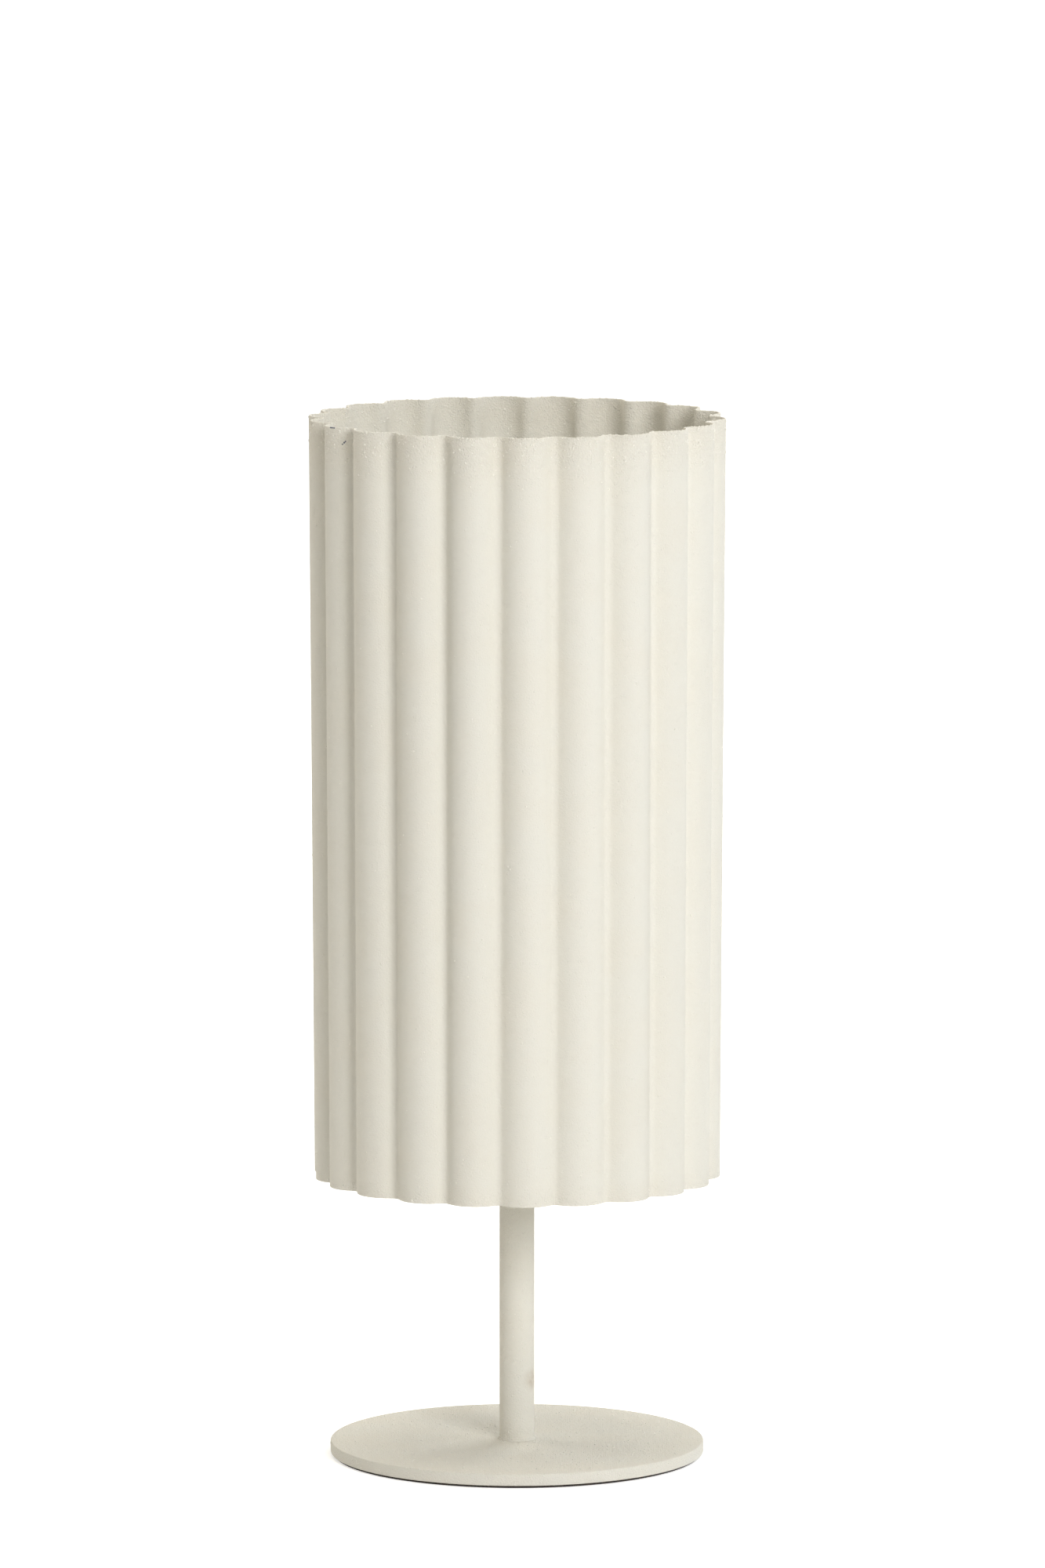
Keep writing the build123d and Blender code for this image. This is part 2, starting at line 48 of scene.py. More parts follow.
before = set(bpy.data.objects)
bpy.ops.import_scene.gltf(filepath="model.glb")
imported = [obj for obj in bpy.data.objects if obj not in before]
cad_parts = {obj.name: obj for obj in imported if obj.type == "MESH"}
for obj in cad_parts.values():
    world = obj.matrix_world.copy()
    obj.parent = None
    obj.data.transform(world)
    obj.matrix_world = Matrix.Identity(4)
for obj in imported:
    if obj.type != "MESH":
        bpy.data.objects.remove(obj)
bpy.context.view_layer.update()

MM = 0.001

# Turn of the side that faces the camera
FRONT = math.radians(-90)

# Bodies of the frame that the pieces ride on
STILL = "lamp"
TURNING = "bulb"
SLIDING = "bulb_foot"


@cache
def low(node):
    """Lowest corner of a node's box at rest."""
    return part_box(node)[0]


@cache
def high(node):
    """Highest corner of a node's box at rest."""
    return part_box(node)[1]


def plain(settings):
    """Settings as plain values, which loops read faster than properties."""
    names = settings.__annotations__
    return SimpleNamespace(**{name: getattr(settings, name) for name in names})


class ShadeSizes(bpy.types.PropertyGroup):
    """Sizes of the ribbed shade that its box doesn't give"""

    rim_radius: FloatProperty(
        name="Rim radius",
        description="Radius over the rib crests at the upper edge",
        default=95 * MM,
        unit="LENGTH",
    )
    foot_radius: FloatProperty(
        name="Foot radius",
        description="Radius over the rib crests at the lower edge",
        default=93 * MM,
        unit="LENGTH",
    )
    ribs: IntProperty(name="Ribs", description="Number of ribs", default=22, min=3)
    rim_depth: FloatProperty(
        name="Rim rib depth",
        description="From crest to valley at the upper edge",
        default=6.6 * MM,
        unit="LENGTH",
    )
    foot_depth: FloatProperty(
        name="Foot rib depth",
        description="From crest to valley at the lower edge",
        default=5.2 * MM,
        unit="LENGTH",
    )
    valley: FloatProperty(
        name="Valley radius",
        description="Radius of the rounding between two ribs",
        default=3.4 * MM,
        unit="LENGTH",
    )
    sheet: FloatProperty(
        name="Sheet", description="Thickness of the sheet metal", default=1.0 * MM, unit="LENGTH"
    )
    edge: FloatProperty(
        name="Edge rounding",
        description="How far paint and deburring round the sheet's edges",
        default=0.42 * MM,
        unit="LENGTH",
    )


class PaintLook(bpy.types.PropertyGroup):
    """Colours and grain of the textured paint"""

    colour: FloatVectorProperty(
        name="Paint", description="Main tone", default=(0.838, 0.823, 0.750), subtype="COLOR"
    )
    warm: FloatVectorProperty(
        name="Warm tone",
        description="Tone of the thicker, more gritty places",
        default=(0.84, 0.79, 0.68),
        subtype="COLOR",
    )
    steel: FloatVectorProperty(
        name="Bare steel",
        description="Colour where the paint is chipped",
        default=(0.13, 0.14, 0.16),
        subtype="COLOR",
    )
    grain: FloatProperty(
        name="Grain", description="Width of one sand grain", default=0.55 * MM, unit="LENGTH"
    )
    relief: FloatProperty(
        name="Relief", description="Height of the grain", default=0.22 * MM, unit="LENGTH"
    )


class StageLook(bpy.types.PropertyGroup):
    """Light of the studio"""

    key: FloatProperty(name="Key", description="Power of the key lamp", default=41.0, unit="POWER")
    front: FloatProperty(
        name="Front", description="Power of the lamp near the camera", default=15.0, unit="POWER"
    )
    side: FloatProperty(
        name="Side", description="Power of the lamp on the right", default=14.5, unit="POWER"
    )
    back: FloatProperty(
        name="Back",
        description="Power of the lamp behind on the right",
        default=45.0,
        unit="POWER",
    )
    left: FloatProperty(
        name="Left", description="Power of the lamp on the left", default=5.0, unit="POWER"
    )
    rear: FloatProperty(
        name="Rear", description="Power of the lamp behind on the left", default=30.0, unit="POWER"
    )
    top: FloatProperty(
        name="Top", description="Power of the lamp overhead", default=45.0, unit="POWER"
    )
    fill: FloatProperty(name="Fill", description="Strength of the surroundings", default=0.05)


def feed(tree, socket, value):
    """Links a node's output to a socket, or sets the socket's own value."""
    if isinstance(value, bpy.types.NodeSocket):
        tree.links.new(value, socket)
    elif socket.type == "RGBA" and len(value) == 3:
        socket.default_value = (*value, 1.0)
    else:
        socket.default_value = value


def wire(tree, kind, inputs=None, **settings):
    """Adds a node, sets it up, and links or sets its inputs."""
    node = tree.nodes.new(kind)
    for name, value in settings.items():
        setattr(node, name, value)
    for key, value in (inputs or {}).items():
        feed(tree, node.inputs[key], value)
    return node


def maths(tree, operation, first, second=0.0, clamp=False):
    """One maths node; returns its result."""
    node = wire(tree, "ShaderNodeMath", {0: first, 1: second}, operation=operation)
    node.use_clamp = clamp
    return node.outputs[0]


# Places of the colour sockets among those of a Mix node, where several share one name
MIX_FIRST = 6
MIX_SECOND = 7
MIX_RESULT = 2


def blend_colours(tree, share, first, second):
    """Mixes two colours by a share; returns the colour."""
    inputs = {"Factor": share, MIX_FIRST: first, MIX_SECOND: second}
    return wire(tree, "ShaderNodeMix", inputs, data_type="RGBA").outputs[MIX_RESULT]


def ramp(tree, value, start, end):
    """Smooth step of a value from 0 at start to 1 at end."""
    node = wire(
        tree,
        "ShaderNodeMapRange",
        {"Value": value, "From Min": start, "From Max": end},
        interpolation_type="SMOOTHSTEP",
    )
    return node.outputs["Result"]


def noise(tree, vector, scale, detail=2.0, rough=0.5):
    """Noise value between 0 and 1."""
    inputs = {"Vector": vector, "Scale": scale, "Detail": detail, "Roughness": rough}
    return wire(tree, "ShaderNodeTexNoise", inputs).outputs["Fac"]


def distance_to(tree, vector, place):
    """Distance of the shaded point from a place."""
    inputs = {0: vector, 1: place}
    return wire(tree, "ShaderNodeVectorMath", inputs, operation="DISTANCE").outputs["Value"]


def separate_axis(tree, vector, axis):
    """One coordinate of a vector."""
    return wire(tree, "ShaderNodeSeparateXYZ", {"Vector": vector}).outputs[axis]


def seen_directly(tree):
    """1 where the camera sees a surface itself, in a mirror or through glass, and 0 for light."""
    path = wire(tree, "ShaderNodeLightPath")
    seen = maths(tree, "MAXIMUM", path.outputs["Is Camera Ray"], path.outputs["Is Glossy Ray"])
    return maths(tree, "MAXIMUM", seen, path.outputs["Is Transmission Ray"])


SOCKETS = {"F": "NodeSocketFloat", "C": "NodeSocketColor", "V": "NodeSocketVector"}


def start_group(name, inputs, outputs):
    """New shader node group; returns its tree, its input node and its output node."""
    tree = bpy.data.node_groups.new(name, "ShaderNodeTree")
    for direction, sockets in (("INPUT", inputs), ("OUTPUT", outputs)):
        for label, kind in sockets.items():
            tree.interface.new_socket(name=label, in_out=direction, socket_type=SOCKETS[kind])
    return tree, tree.nodes.new("NodeGroupInput"), tree.nodes.new("NodeGroupOutput")


def finish_group(tree, exit_node, results):
    """Links a group's results to its output node."""
    for label, socket in results.items():
        tree.links.new(socket, exit_node.inputs[label])
    return tree


# Sand coat: the medium and lump scales are shares of the fine grain's scale, and the blotches'
# scale is a number of blotches to the metre
MEDIUM_SCALE = 0.7
LUMP_SCALE = 0.55
LUMP_REACH = 0.6
LUMP_COVER = 0.55
LUMP_HEIGHT = 0.8
SWELL = 0.2
COARSE_SWELL = 0.6
BLOTCH_SCALE = 38.0
BLOTCH_WARMTH = 0.25
COARSE_WARMTH = 0.3
# Painted shade in the grain's pits: how much more saturated and how much darker their colour is
PAINTED_PIT_SHADE_SATURATION = 1.15
PAINTED_PIT_SHADE_VALUE = 0.88
# Painted highlight on the lumps' tops: how strongly they turn pale, and the pale tone
PAINTED_TIP_HIGHLIGHT_SHARE = 0.6
PAINTED_TIP_HIGHLIGHT_TONE = (0.94, 0.92, 0.86)
SAND_ROUGHNESS = 0.78
SAND_ROUGHNESS_SPREAD = 0.15


def sand_group():
    """Gritty sand-textured paint: fine grain, blotches of tone, and scattered coarse lumps, with
    painted shade in the grain's pits and a painted highlight on the lumps' tops.
    """
    tree, entry, exit_node = start_group(
        "Sand Coat",
        {"Vector": "V", "Grain Scale": "F", "Coarse": "F", "Paint": "C", "Warm": "C"},
        {"Colour": "C", "Roughness": "F", "Height": "F"},
    )
    vector = entry.outputs["Vector"]
    scale = entry.outputs["Grain Scale"]
    coarse = entry.outputs["Coarse"]
    fine = noise(tree, vector, scale, rough=0.6)
    medium = noise(tree, vector, maths(tree, "MULTIPLY", scale, MEDIUM_SCALE), detail=1.0)
    medium = ramp(tree, medium, start=0.3, end=0.7)
    lump_scale = maths(tree, "MULTIPLY", scale, LUMP_SCALE)
    cells = wire(
        tree,
        "ShaderNodeTexVoronoi",
        {"Vector": vector, "Scale": lump_scale, "Randomness": 1.0},
        feature="F1",
    )
    lump = ramp(tree, cells.outputs["Distance"], start=LUMP_REACH, end=0.0)
    chosen = wire(tree, "ShaderNodeSeparateColor", {"Color": cells.outputs["Color"]})
    limit = maths(tree, "SUBTRACT", 1.0, maths(tree, "MULTIPLY", coarse, LUMP_COVER))
    picked = maths(tree, "GREATER_THAN", chosen.outputs["Red"], limit)
    lump = maths(tree, "MULTIPLY", lump, picked)
    swell = maths(tree, "ADD", maths(tree, "MULTIPLY", coarse, COARSE_SWELL), SWELL)
    grain = maths(tree, "ADD", fine, maths(tree, "MULTIPLY", medium, swell))
    height = maths(tree, "ADD", grain, maths(tree, "MULTIPLY", lump, LUMP_HEIGHT))
    blotch = noise(tree, vector, BLOTCH_SCALE, detail=3.0, rough=0.6)
    blotch = ramp(tree, blotch, start=0.35, end=0.75)
    warmth = maths(tree, "MULTIPLY", coarse, COARSE_WARMTH)
    share = maths(tree, "MULTIPLY", blotch, BLOTCH_WARMTH)
    share = maths(tree, "ADD", share, warmth, clamp=True)
    tone = blend_colours(tree, share, entry.outputs["Paint"], entry.outputs["Warm"])
    # Painted shade: the colour turns darker where the fine grain is lowest, in its pits
    painted_pit_shade = ramp(tree, fine, start=0.30, end=0.18)
    dark = wire(
        tree,
        "ShaderNodeHueSaturation",
        {"Saturation": PAINTED_PIT_SHADE_SATURATION, "Value": PAINTED_PIT_SHADE_VALUE, "Color": tone},
    )
    colour = blend_colours(tree, painted_pit_shade, tone, dark.outputs["Color"])
    # Painted highlight: the lumps' tops turn paler, as grains that catch the light
    painted_tip_highlight = ramp(tree, lump, start=0.35, end=0.9)
    painted_tip_highlight = maths(tree, "MULTIPLY", painted_tip_highlight, PAINTED_TIP_HIGHLIGHT_SHARE)
    colour = blend_colours(tree, painted_tip_highlight, colour, PAINTED_TIP_HIGHLIGHT_TONE)
    rough = maths(tree, "MULTIPLY", fine, SAND_ROUGHNESS_SPREAD)
    rough = maths(tree, "ADD", rough, SAND_ROUGHNESS)
    return finish_group(
        tree, exit_node, {"Colour": colour, "Roughness": rough, "Height": height}
    )


def chip_group():
    """Ragged spot round one point where the paint has come off."""
    tree, entry, exit_node = start_group(
        "Paint Chip", {"Vector": "V", "Place": "V", "Radius": "F"}, {"Mask": "F"}
    )
    ragged_scale = 1400.0
    gap = distance_to(tree, entry.outputs["Vector"], entry.outputs["Place"])
    ragged = noise(tree, entry.outputs["Vector"], ragged_scale)
    edge = maths(tree, "MULTIPLY", entry.outputs["Radius"], maths(tree, "ADD", ragged, 0.5))
    return finish_group(tree, exit_node, {"Mask": maths(tree, "LESS_THAN", gap, edge)})


def metal_group():
    """Fine scratches, dulling and handling marks on bare metal."""
    tree, entry, exit_node = start_group(
        "Metal Finish",
        {"Vector": "V", "Bright": "C", "Dull": "C", "Least Roughness": "F"},
        {"Colour": "C", "Roughness": "F", "Height": "F"},
    )
    cloud_scale, scratch_scale = 160.0, 2600.0
    dulling, rough_spread = 0.6, 0.14
    vector = entry.outputs["Vector"]
    cloud = noise(tree, vector, cloud_scale, detail=4.0, rough=0.65)
    cloud = ramp(tree, cloud, start=0.4, end=0.72)
    fine = noise(tree, vector, scratch_scale)
    share = maths(tree, "MULTIPLY", cloud, dulling)
    colour = blend_colours(tree, share, entry.outputs["Bright"], entry.outputs["Dull"])
    rough = maths(tree, "MULTIPLY", maths(tree, "ADD", cloud, fine), rough_spread)
    rough = maths(tree, "ADD", rough, entry.outputs["Least Roughness"], clamp=True)
    return finish_group(tree, exit_node, {"Colour": colour, "Roughness": rough, "Height": fine})


def moulded_group():
    """Spark-eroded grain of moulded plastic or rubber."""
    tree, entry, exit_node = start_group(
        "Moulded Grain",
        {"Vector": "V", "Tone": "C", "Worn": "C", "Scale": "F", "Least Roughness": "F"},
        {"Colour": "C", "Roughness": "F", "Height": "F"},
    )
    cloud_scale, wear, rough_spread = 90.0, 0.35, 0.2
    vector = entry.outputs["Vector"]
    fine = noise(tree, vector, entry.outputs["Scale"], rough=0.6)
    cloud = noise(tree, vector, cloud_scale, detail=3.0)
    cloud = ramp(tree, cloud, start=0.4, end=0.7)
    share = maths(tree, "MULTIPLY", cloud, wear)
    colour = blend_colours(tree, share, entry.outputs["Tone"], entry.outputs["Worn"])
    rough = maths(tree, "MULTIPLY", fine, rough_spread)
    rough = maths(tree, "ADD", rough, entry.outputs["Least Roughness"])
    return finish_group(tree, exit_node, {"Colour": colour, "Roughness": rough, "Height": fine})


def felt_group():
    """Matted fibres of pressed felt."""
    tree, entry, exit_node = start_group(
        "Pressed Felt",
        {"Vector": "V", "Dark": "C", "Light": "C"},
        {"Colour": "C", "Height": "F"},
    )
    fibre_scale, tuft_scale, tuft_height = 1500.0, 220.0, 0.6
    stretched = wire(
        tree,
        "ShaderNodeVectorMath",
        {0: entry.outputs["Vector"], 1: (1.0, 1.0, 2.5)},
        operation="MULTIPLY",
    ).outputs["Vector"]
    fibre = noise(tree, stretched, fibre_scale, detail=5.0, rough=0.75)
    tuft = noise(tree, entry.outputs["Vector"], tuft_scale, detail=3.0)
    height = maths(tree, "ADD", fibre, maths(tree, "MULTIPLY", tuft, tuft_height))
    share = ramp(tree, height, start=0.55, end=1.1)
    colour = blend_colours(tree, share, entry.outputs["Dark"], entry.outputs["Light"])
    return finish_group(tree, exit_node, {"Colour": colour, "Height": height})


GROUP_MAKERS = {
    "Sand Coat": sand_group,
    "Paint Chip": chip_group,
    "Metal Finish": metal_group,
    "Moulded Grain": moulded_group,
    "Pressed Felt": felt_group,
}


def place_group(tree, name, inputs):
    """Puts a shared group, built on its first use, in a material."""
    group = bpy.data.node_groups.get(name) or GROUP_MAKERS[name]()
    node = tree.nodes.new("ShaderNodeGroup")
    node.node_tree = group
    for key, value in inputs.items():
        feed(tree, node.inputs[key], value)
    return node.outputs


def new_material(name):
    """New material; returns it, its tree, its Principled shader and object coordinates."""
    material = bpy.data.materials.new(name)
    material.use_nodes = True
    tree = material.node_tree
    shader = tree.nodes["Principled BSDF"]
    vector = tree.nodes.new("ShaderNodeTexCoord").outputs["Object"]
    return material, tree, shader, vector


def add_relief(tree, shader, height, depth):
    """Feeds a height through a Bump node into a shader's normal."""
    inputs = {"Height": height, "Distance": depth, "Strength": 1.0}
    bump = wire(tree, "ShaderNodeBump", inputs)
    tree.links.new(bump.outputs["Normal"], shader.inputs["Normal"])


def band(tree, vector, centre, reach):
    """1 near a height, falling smoothly to 0 at the reach above and below it."""
    z = separate_axis(tree, vector, "Z")
    gap = maths(tree, "ABSOLUTE", maths(tree, "SUBTRACT", z, centre))
    return ramp(tree, gap, start=reach, end=0.0)


# How much smoother and how metallic a chip is than the paint round it
BARE_GLOSS = 0.45
BARE_METALLIC = 0.7


def sand_paint(name, bands, coarse, chips=(), stain=None, relief=1.0, tone=None):
    """Cream sand-textured paint with chips to the steel.

    It is coarser in bands, which are (height, reach, how coarse). A chip is (place, radius), and
    a stain is (place, radius, colour).
    """
    look = bpy.context.scene.lamp_paint
    material, tree, shader, vector = new_material(name)
    for centre, reach, amount in bands:
        share = maths(tree, "MULTIPLY", band(tree, vector, centre, reach), amount)
        coarse = maths(tree, "ADD", coarse, share, clamp=True)
    coat = place_group(
        tree,
        "Sand Coat",
        {
            "Vector": vector,
            "Grain Scale": 1 / look.grain,
            "Coarse": coarse,
            "Paint": tone or look.colour,
            "Warm": look.warm,
        },
    )
    colour = coat["Colour"]
    if stain:
        place, radius, stain_tone = stain
        gap = distance_to(tree, vector, place)
        cloud = noise(tree, vector, scale=300.0, detail=3.0)
        near = ramp(tree, gap, start=radius, end=0.0)
        share = maths(tree, "MULTIPLY", near, cloud)
        colour = blend_colours(tree, share, colour, stain_tone)
    bare = None
    for place, radius in chips:
        mask = place_group(
            tree, "Paint Chip", {"Vector": vector, "Place": place, "Radius": radius}
        )["Mask"]
        bare = mask if bare is None else maths(tree, "MAXIMUM", bare, mask)
    rough = coat["Roughness"]
    if bare is not None:
        colour = blend_colours(tree, bare, colour, look.steel)
        gloss = maths(tree, "MULTIPLY", bare, BARE_GLOSS)
        rough = maths(tree, "SUBTRACT", rough, gloss)
        metallic = maths(tree, "MULTIPLY", bare, BARE_METALLIC)
        tree.links.new(metallic, shader.inputs["Metallic"])
    tree.links.new(colour, shader.inputs["Base Color"])
    tree.links.new(rough, shader.inputs["Roughness"])
    shader.inputs["Specular IOR Level"].default_value = 0.25
    add_relief(tree, shader, coat["Height"], look.relief * relief)
    return material


def metal(name, bright, dull, roughness):
    """Bare or plated metal."""
    material, tree, shader, vector = new_material(name)
    finish = place_group(
        tree,
        "Metal Finish",
        {"Vector": vector, "Bright": bright, "Dull": dull, "Least Roughness": roughness},
    )
    tree.links.new(finish["Colour"], shader.inputs["Base Color"])
    tree.links.new(finish["Roughness"], shader.inputs["Roughness"])
    shader.inputs["Metallic"].default_value = 1.0
    add_relief(tree, shader, finish["Height"], depth=0.01 * MM)
    return material


def moulded(name, tone, worn, roughness):
    """Moulded plastic or rubber."""
    grain = 0.35 * MM
    material, tree, shader, vector = new_material(name)
    finish = place_group(
        tree,
        "Moulded Grain",
        {
            "Vector": vector,
            "Tone": tone,
            "Worn": worn,
            "Scale": 1 / grain,
            "Least Roughness": roughness,
        },
    )
    tree.links.new(finish["Colour"], shader.inputs["Base Color"])
    tree.links.new(finish["Roughness"], shader.inputs["Roughness"])
    add_relief(tree, shader, finish["Height"], depth=0.02 * MM)
    return material


def felt(name, dark, light):
    """Pressed felt with a soft sheen."""
    material, tree, shader, vector = new_material(name)
    finish = place_group(
        tree, "Pressed Felt", {"Vector": vector, "Dark": dark, "Light": light}
    )
    tree.links.new(finish["Colour"], shader.inputs["Base Color"])
    shader.inputs["Roughness"].default_value = 0.95
    shader.inputs["Sheen Weight"].default_value = 0.3
    add_relief(tree, shader, finish["Height"], depth=0.25 * MM)
    return material


def clear_glass(name, tint):
    """Thin clear glass with a faint unevenness."""
    material, tree, shader, vector = new_material(name)
    swirl = noise(tree, vector, scale=60.0)
    colour = blend_colours(tree, swirl, tint, (0.97, 0.98, 0.98))
    tree.links.new(colour, shader.inputs["Base Color"])
    shader.inputs["Roughness"].default_value = 0.02
    shader.inputs["IOR"].default_value = 1.45
    shader.inputs["Transmission Weight"].default_value = 1.0
    add_relief(tree, shader, swirl, depth=0.05 * MM)
    return material


def phosphor(name):
    """Yellow silicone coat of a filament, a little uneven."""
    material, tree, shader, vector = new_material(name)
    beads = noise(tree, vector, scale=900.0)
    colour = blend_colours(tree, beads, (0.86, 0.55, 0.10), (0.95, 0.74, 0.28))
    tree.links.new(colour, shader.inputs["Base Color"])
    shader.inputs["Roughness"].default_value = 0.45
    shader.inputs["Subsurface Weight"].default_value = 0.2
    shader.inputs["Subsurface Radius"].default_value = (MM, MM, MM)
    add_relief(tree, shader, beads, depth=0.08 * MM)
    return material


def add_piece(name, points, faces, body, material, crease=None):
    """Makes a mesh piece that rides on a body; crease is the angle that stays sharp."""
    mesh = bpy.data.meshes.new(name)
    mesh.from_pydata([tuple(point) for point in points], [], faces)
    mesh.shade_smooth()
    if crease is not None:
        mesh.set_sharp_from_angle(angle=crease)
    mesh.materials.append(material)
    piece = bpy.data.objects.new(name, mesh)
    bpy.context.scene.collection.objects.link(piece)
    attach(piece, body)
    return piece


def paint_node(node, material):
    """Gives a carried-over node a material of its own."""
    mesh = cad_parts[node].data
    mesh.materials.clear()
    mesh.materials.append(material)


def grid_faces(rows, columns, first=0, close_rows=False, close_columns=True):
    """Quads over a grid of points that is stored row by row."""
    faces = []
    for row in range(rows if close_rows else rows - 1):
        for column in range(columns if close_columns else columns - 1):
            a = first + row * columns + column
            b = first + row * columns + (column + 1) % columns
            c = first + (row + 1) % rows * columns + (column + 1) % columns
            d = first + (row + 1) % rows * columns + column
            faces.append((a, b, c, d))
    return faces


def end_faces(rows, columns, first=0):
    """Faces that close the first and the last row of a grid of points."""
    start = range(first, first + columns)
    last = first + (rows - 1) * columns
    return [tuple(reversed(start)), tuple(range(last, last + columns))]


def lathe(profile, segments, closed=False, shape=None):
    """Turns (radius, height) points about Z; shape may move each point by its turn."""
    points = []
    for radius, height in profile:
        for step in range(segments):
            turn = math.tau * step / segments
            r, z = shape(radius, height, turn) if shape else (radius, height)
            points.append((r * math.cos(turn), r * math.sin(turn), z))
    faces = grid_faces(len(profile), segments, close_rows=closed)
    if not closed:
        faces += end_faces(len(profile), segments)
    return points, faces


def arc(centre, radius, start, end, steps):
    """Points of an arc in a section, from one angle to another in degrees."""
    angles = [math.radians(start + (end - start) * i / steps) for i in range(steps + 1)]
    return [(centre[0] + radius * math.cos(a), centre[1] + radius * math.sin(a)) for a in angles]


# Ripples: the steps in phase from one seed and one wave to the next, the change of phase with
# height, and a little more than the waves add up to
SEED_PHASE = 1.7
WAVE_PHASE = 2.1
HEIGHT_PHASE = 40
RIPPLE_REACH = 1.9


def ripple(turn, height, seed, waves=(3, 7, 13)):
    """Smooth small unevenness between -1 and 1 round an axis."""
    value = 0.0
    for index, wave in enumerate(waves):
        offset = seed * SEED_PHASE + index * WAVE_PHASE
        phase = wave * turn + offset + height * HEIGHT_PHASE * (index + 1)
        value += math.sin(phase) / (index + 1)
    return value / RIPPLE_REACH


def mix(first, second, share):
    """Value that lies between two others."""
    return first + (second - first) * share


def smooth(share):
    """Share from 0 to 1 that starts and ends gently."""
    return share * share * (3 - 2 * share)


def wall_share(height):
    """How far up the shade's wall a height lies, from 0 to 1."""
    bottom, top = low("shade").z, high("shade").z
    return (height - bottom) / (top - bottom)


# How far the ribs stray from even spacing, in degrees, at each step round from the front
STRAY = (2.7, 2.8, 2.4, 4.6, 5.6, 5.2, 4.7, 3.4, 4.0, 2.4, 1.1, 2.9)
STRAY_STEP = 30


def stray(turn):
    """Angle by which a rib's place differs from even spacing."""
    place = math.degrees(turn - FRONT) % 360 / STRAY_STEP
    index = int(place)
    before, after = STRAY[index % len(STRAY)], STRAY[(index + 1) % len(STRAY)]
    return math.radians(mix(before, after, smooth(place - index)))


class RibSection:
    """Ribbed outline of tangent arcs at one height of the shade."""

    def __init__(self, sizes, height):
        share = wall_share(height)
        crest = mix(sizes.foot_radius, sizes.rim_radius, share)
        depth = mix(sizes.foot_depth, sizes.rim_depth, share)
        self.pitch = math.tau / sizes.ribs
        self.ribs = sizes.ribs
        self.valley = sizes.valley
        lean = math.cos(self.pitch / 2)
        valley_centre = crest - depth + sizes.valley
        # The nose has the radius at which it is tangent to the valleys beside it
        spread = crest**2 + valley_centre**2 - 2 * crest * valley_centre * lean
        self.nose = (spread - sizes.valley**2) / (
            2 * (crest + sizes.valley - valley_centre * lean)
        )
        self.nose_centre = crest - self.nose
        self.valley_centre = valley_centre
        self.flank = math.atan2(
            valley_centre * math.sin(self.pitch / 2), valley_centre * lean - self.nose_centre
        )
        self.valley_flank = self.flank - self.pitch / 2

    def point(self, rib, share, inward):
        """Point on a rib's outline, and the way it faces: nose below a share of 1, then valley."""
        if share < 1:
            facing = self.flank * (2 * share - 1)
            direction, centre, radius = FRONT + rib * self.pitch, self.nose_centre, self.nose
        else:
            facing = self.valley_flank * (3 - 2 * share)
            direction, centre = FRONT + (rib + 0.5) * self.pitch, self.valley_centre
            radius = -self.valley
        out = centre + (radius - inward) * math.cos(facing)
        side = (radius - inward) * math.sin(facing)
        turn = direction + math.atan2(side, out)
        shift = stray(turn)
        reach = math.hypot(out, side)
        x, y = reach * math.cos(turn + shift), reach * math.sin(turn + shift)
        return x, y, direction + facing + shift

    def ring(self, inward, nose_steps=12, valley_steps=6):
        """Points of the whole outline, offset inward from the sheet's outer face."""
        shares = [step / nose_steps for step in range(nose_steps)]
        shares += [1 + step / valley_steps for step in range(valley_steps)]
        return [self.point(rib, share, inward)[:2] for rib in range(self.ribs) for share in shares]

    def surface(self, turn):
        """Point of the sheet's outer face that lies nearest to a direction."""
        way = (math.cos(turn), math.sin(turn))
        fine_ring = self.ring(0.0, nose_steps=90, valley_steps=45)
        return max(fine_ring, key=lambda spot: self.along(spot, way))

    @staticmethod
    def along(spot, way):
        """How closely a point lies in a direction, as a cosine."""
        return (spot[0] * way[0] + spot[1] * way[1]) / math.hypot(*spot)


# How far the sheet's edges stay inside the shade's box, which leaves room for grains on them
RIM_GAP = 0.35 * MM


def shade_loops(sizes):
    """(height, inward) of each loop round the sheet's section, outside up and inside down."""
    bottom, top = low("shade").z + RIM_GAP, high("shade").z - RIM_GAP
    edge = sizes.edge
    wall_steps, edge_steps = 34, 4

    def corner(start, height, inward):
        """Quarter round of the sheet's edge, as (height, inward) pairs."""
        turn = arc((0, 0), edge, start, start + 90, edge_steps)
        return [(height + z, inward - r) for r, z in turn]

    low_centre, high_centre = bottom + edge, top - edge
    outside = [
        (mix(low_centre, high_centre, step / wall_steps), 0.0) for step in range(wall_steps + 1)
    ]
    rim = corner(0, high_centre, edge)[1:] + corner(90, high_centre, sizes.sheet - edge)
    inside = [(z, sizes.sheet) for z, _ in reversed(outside)][1:]
    foot = corner(180, low_centre, sizes.sheet - edge)[1:] + corner(270, low_centre, edge)[:-1]
    return outside + rim + inside + foot


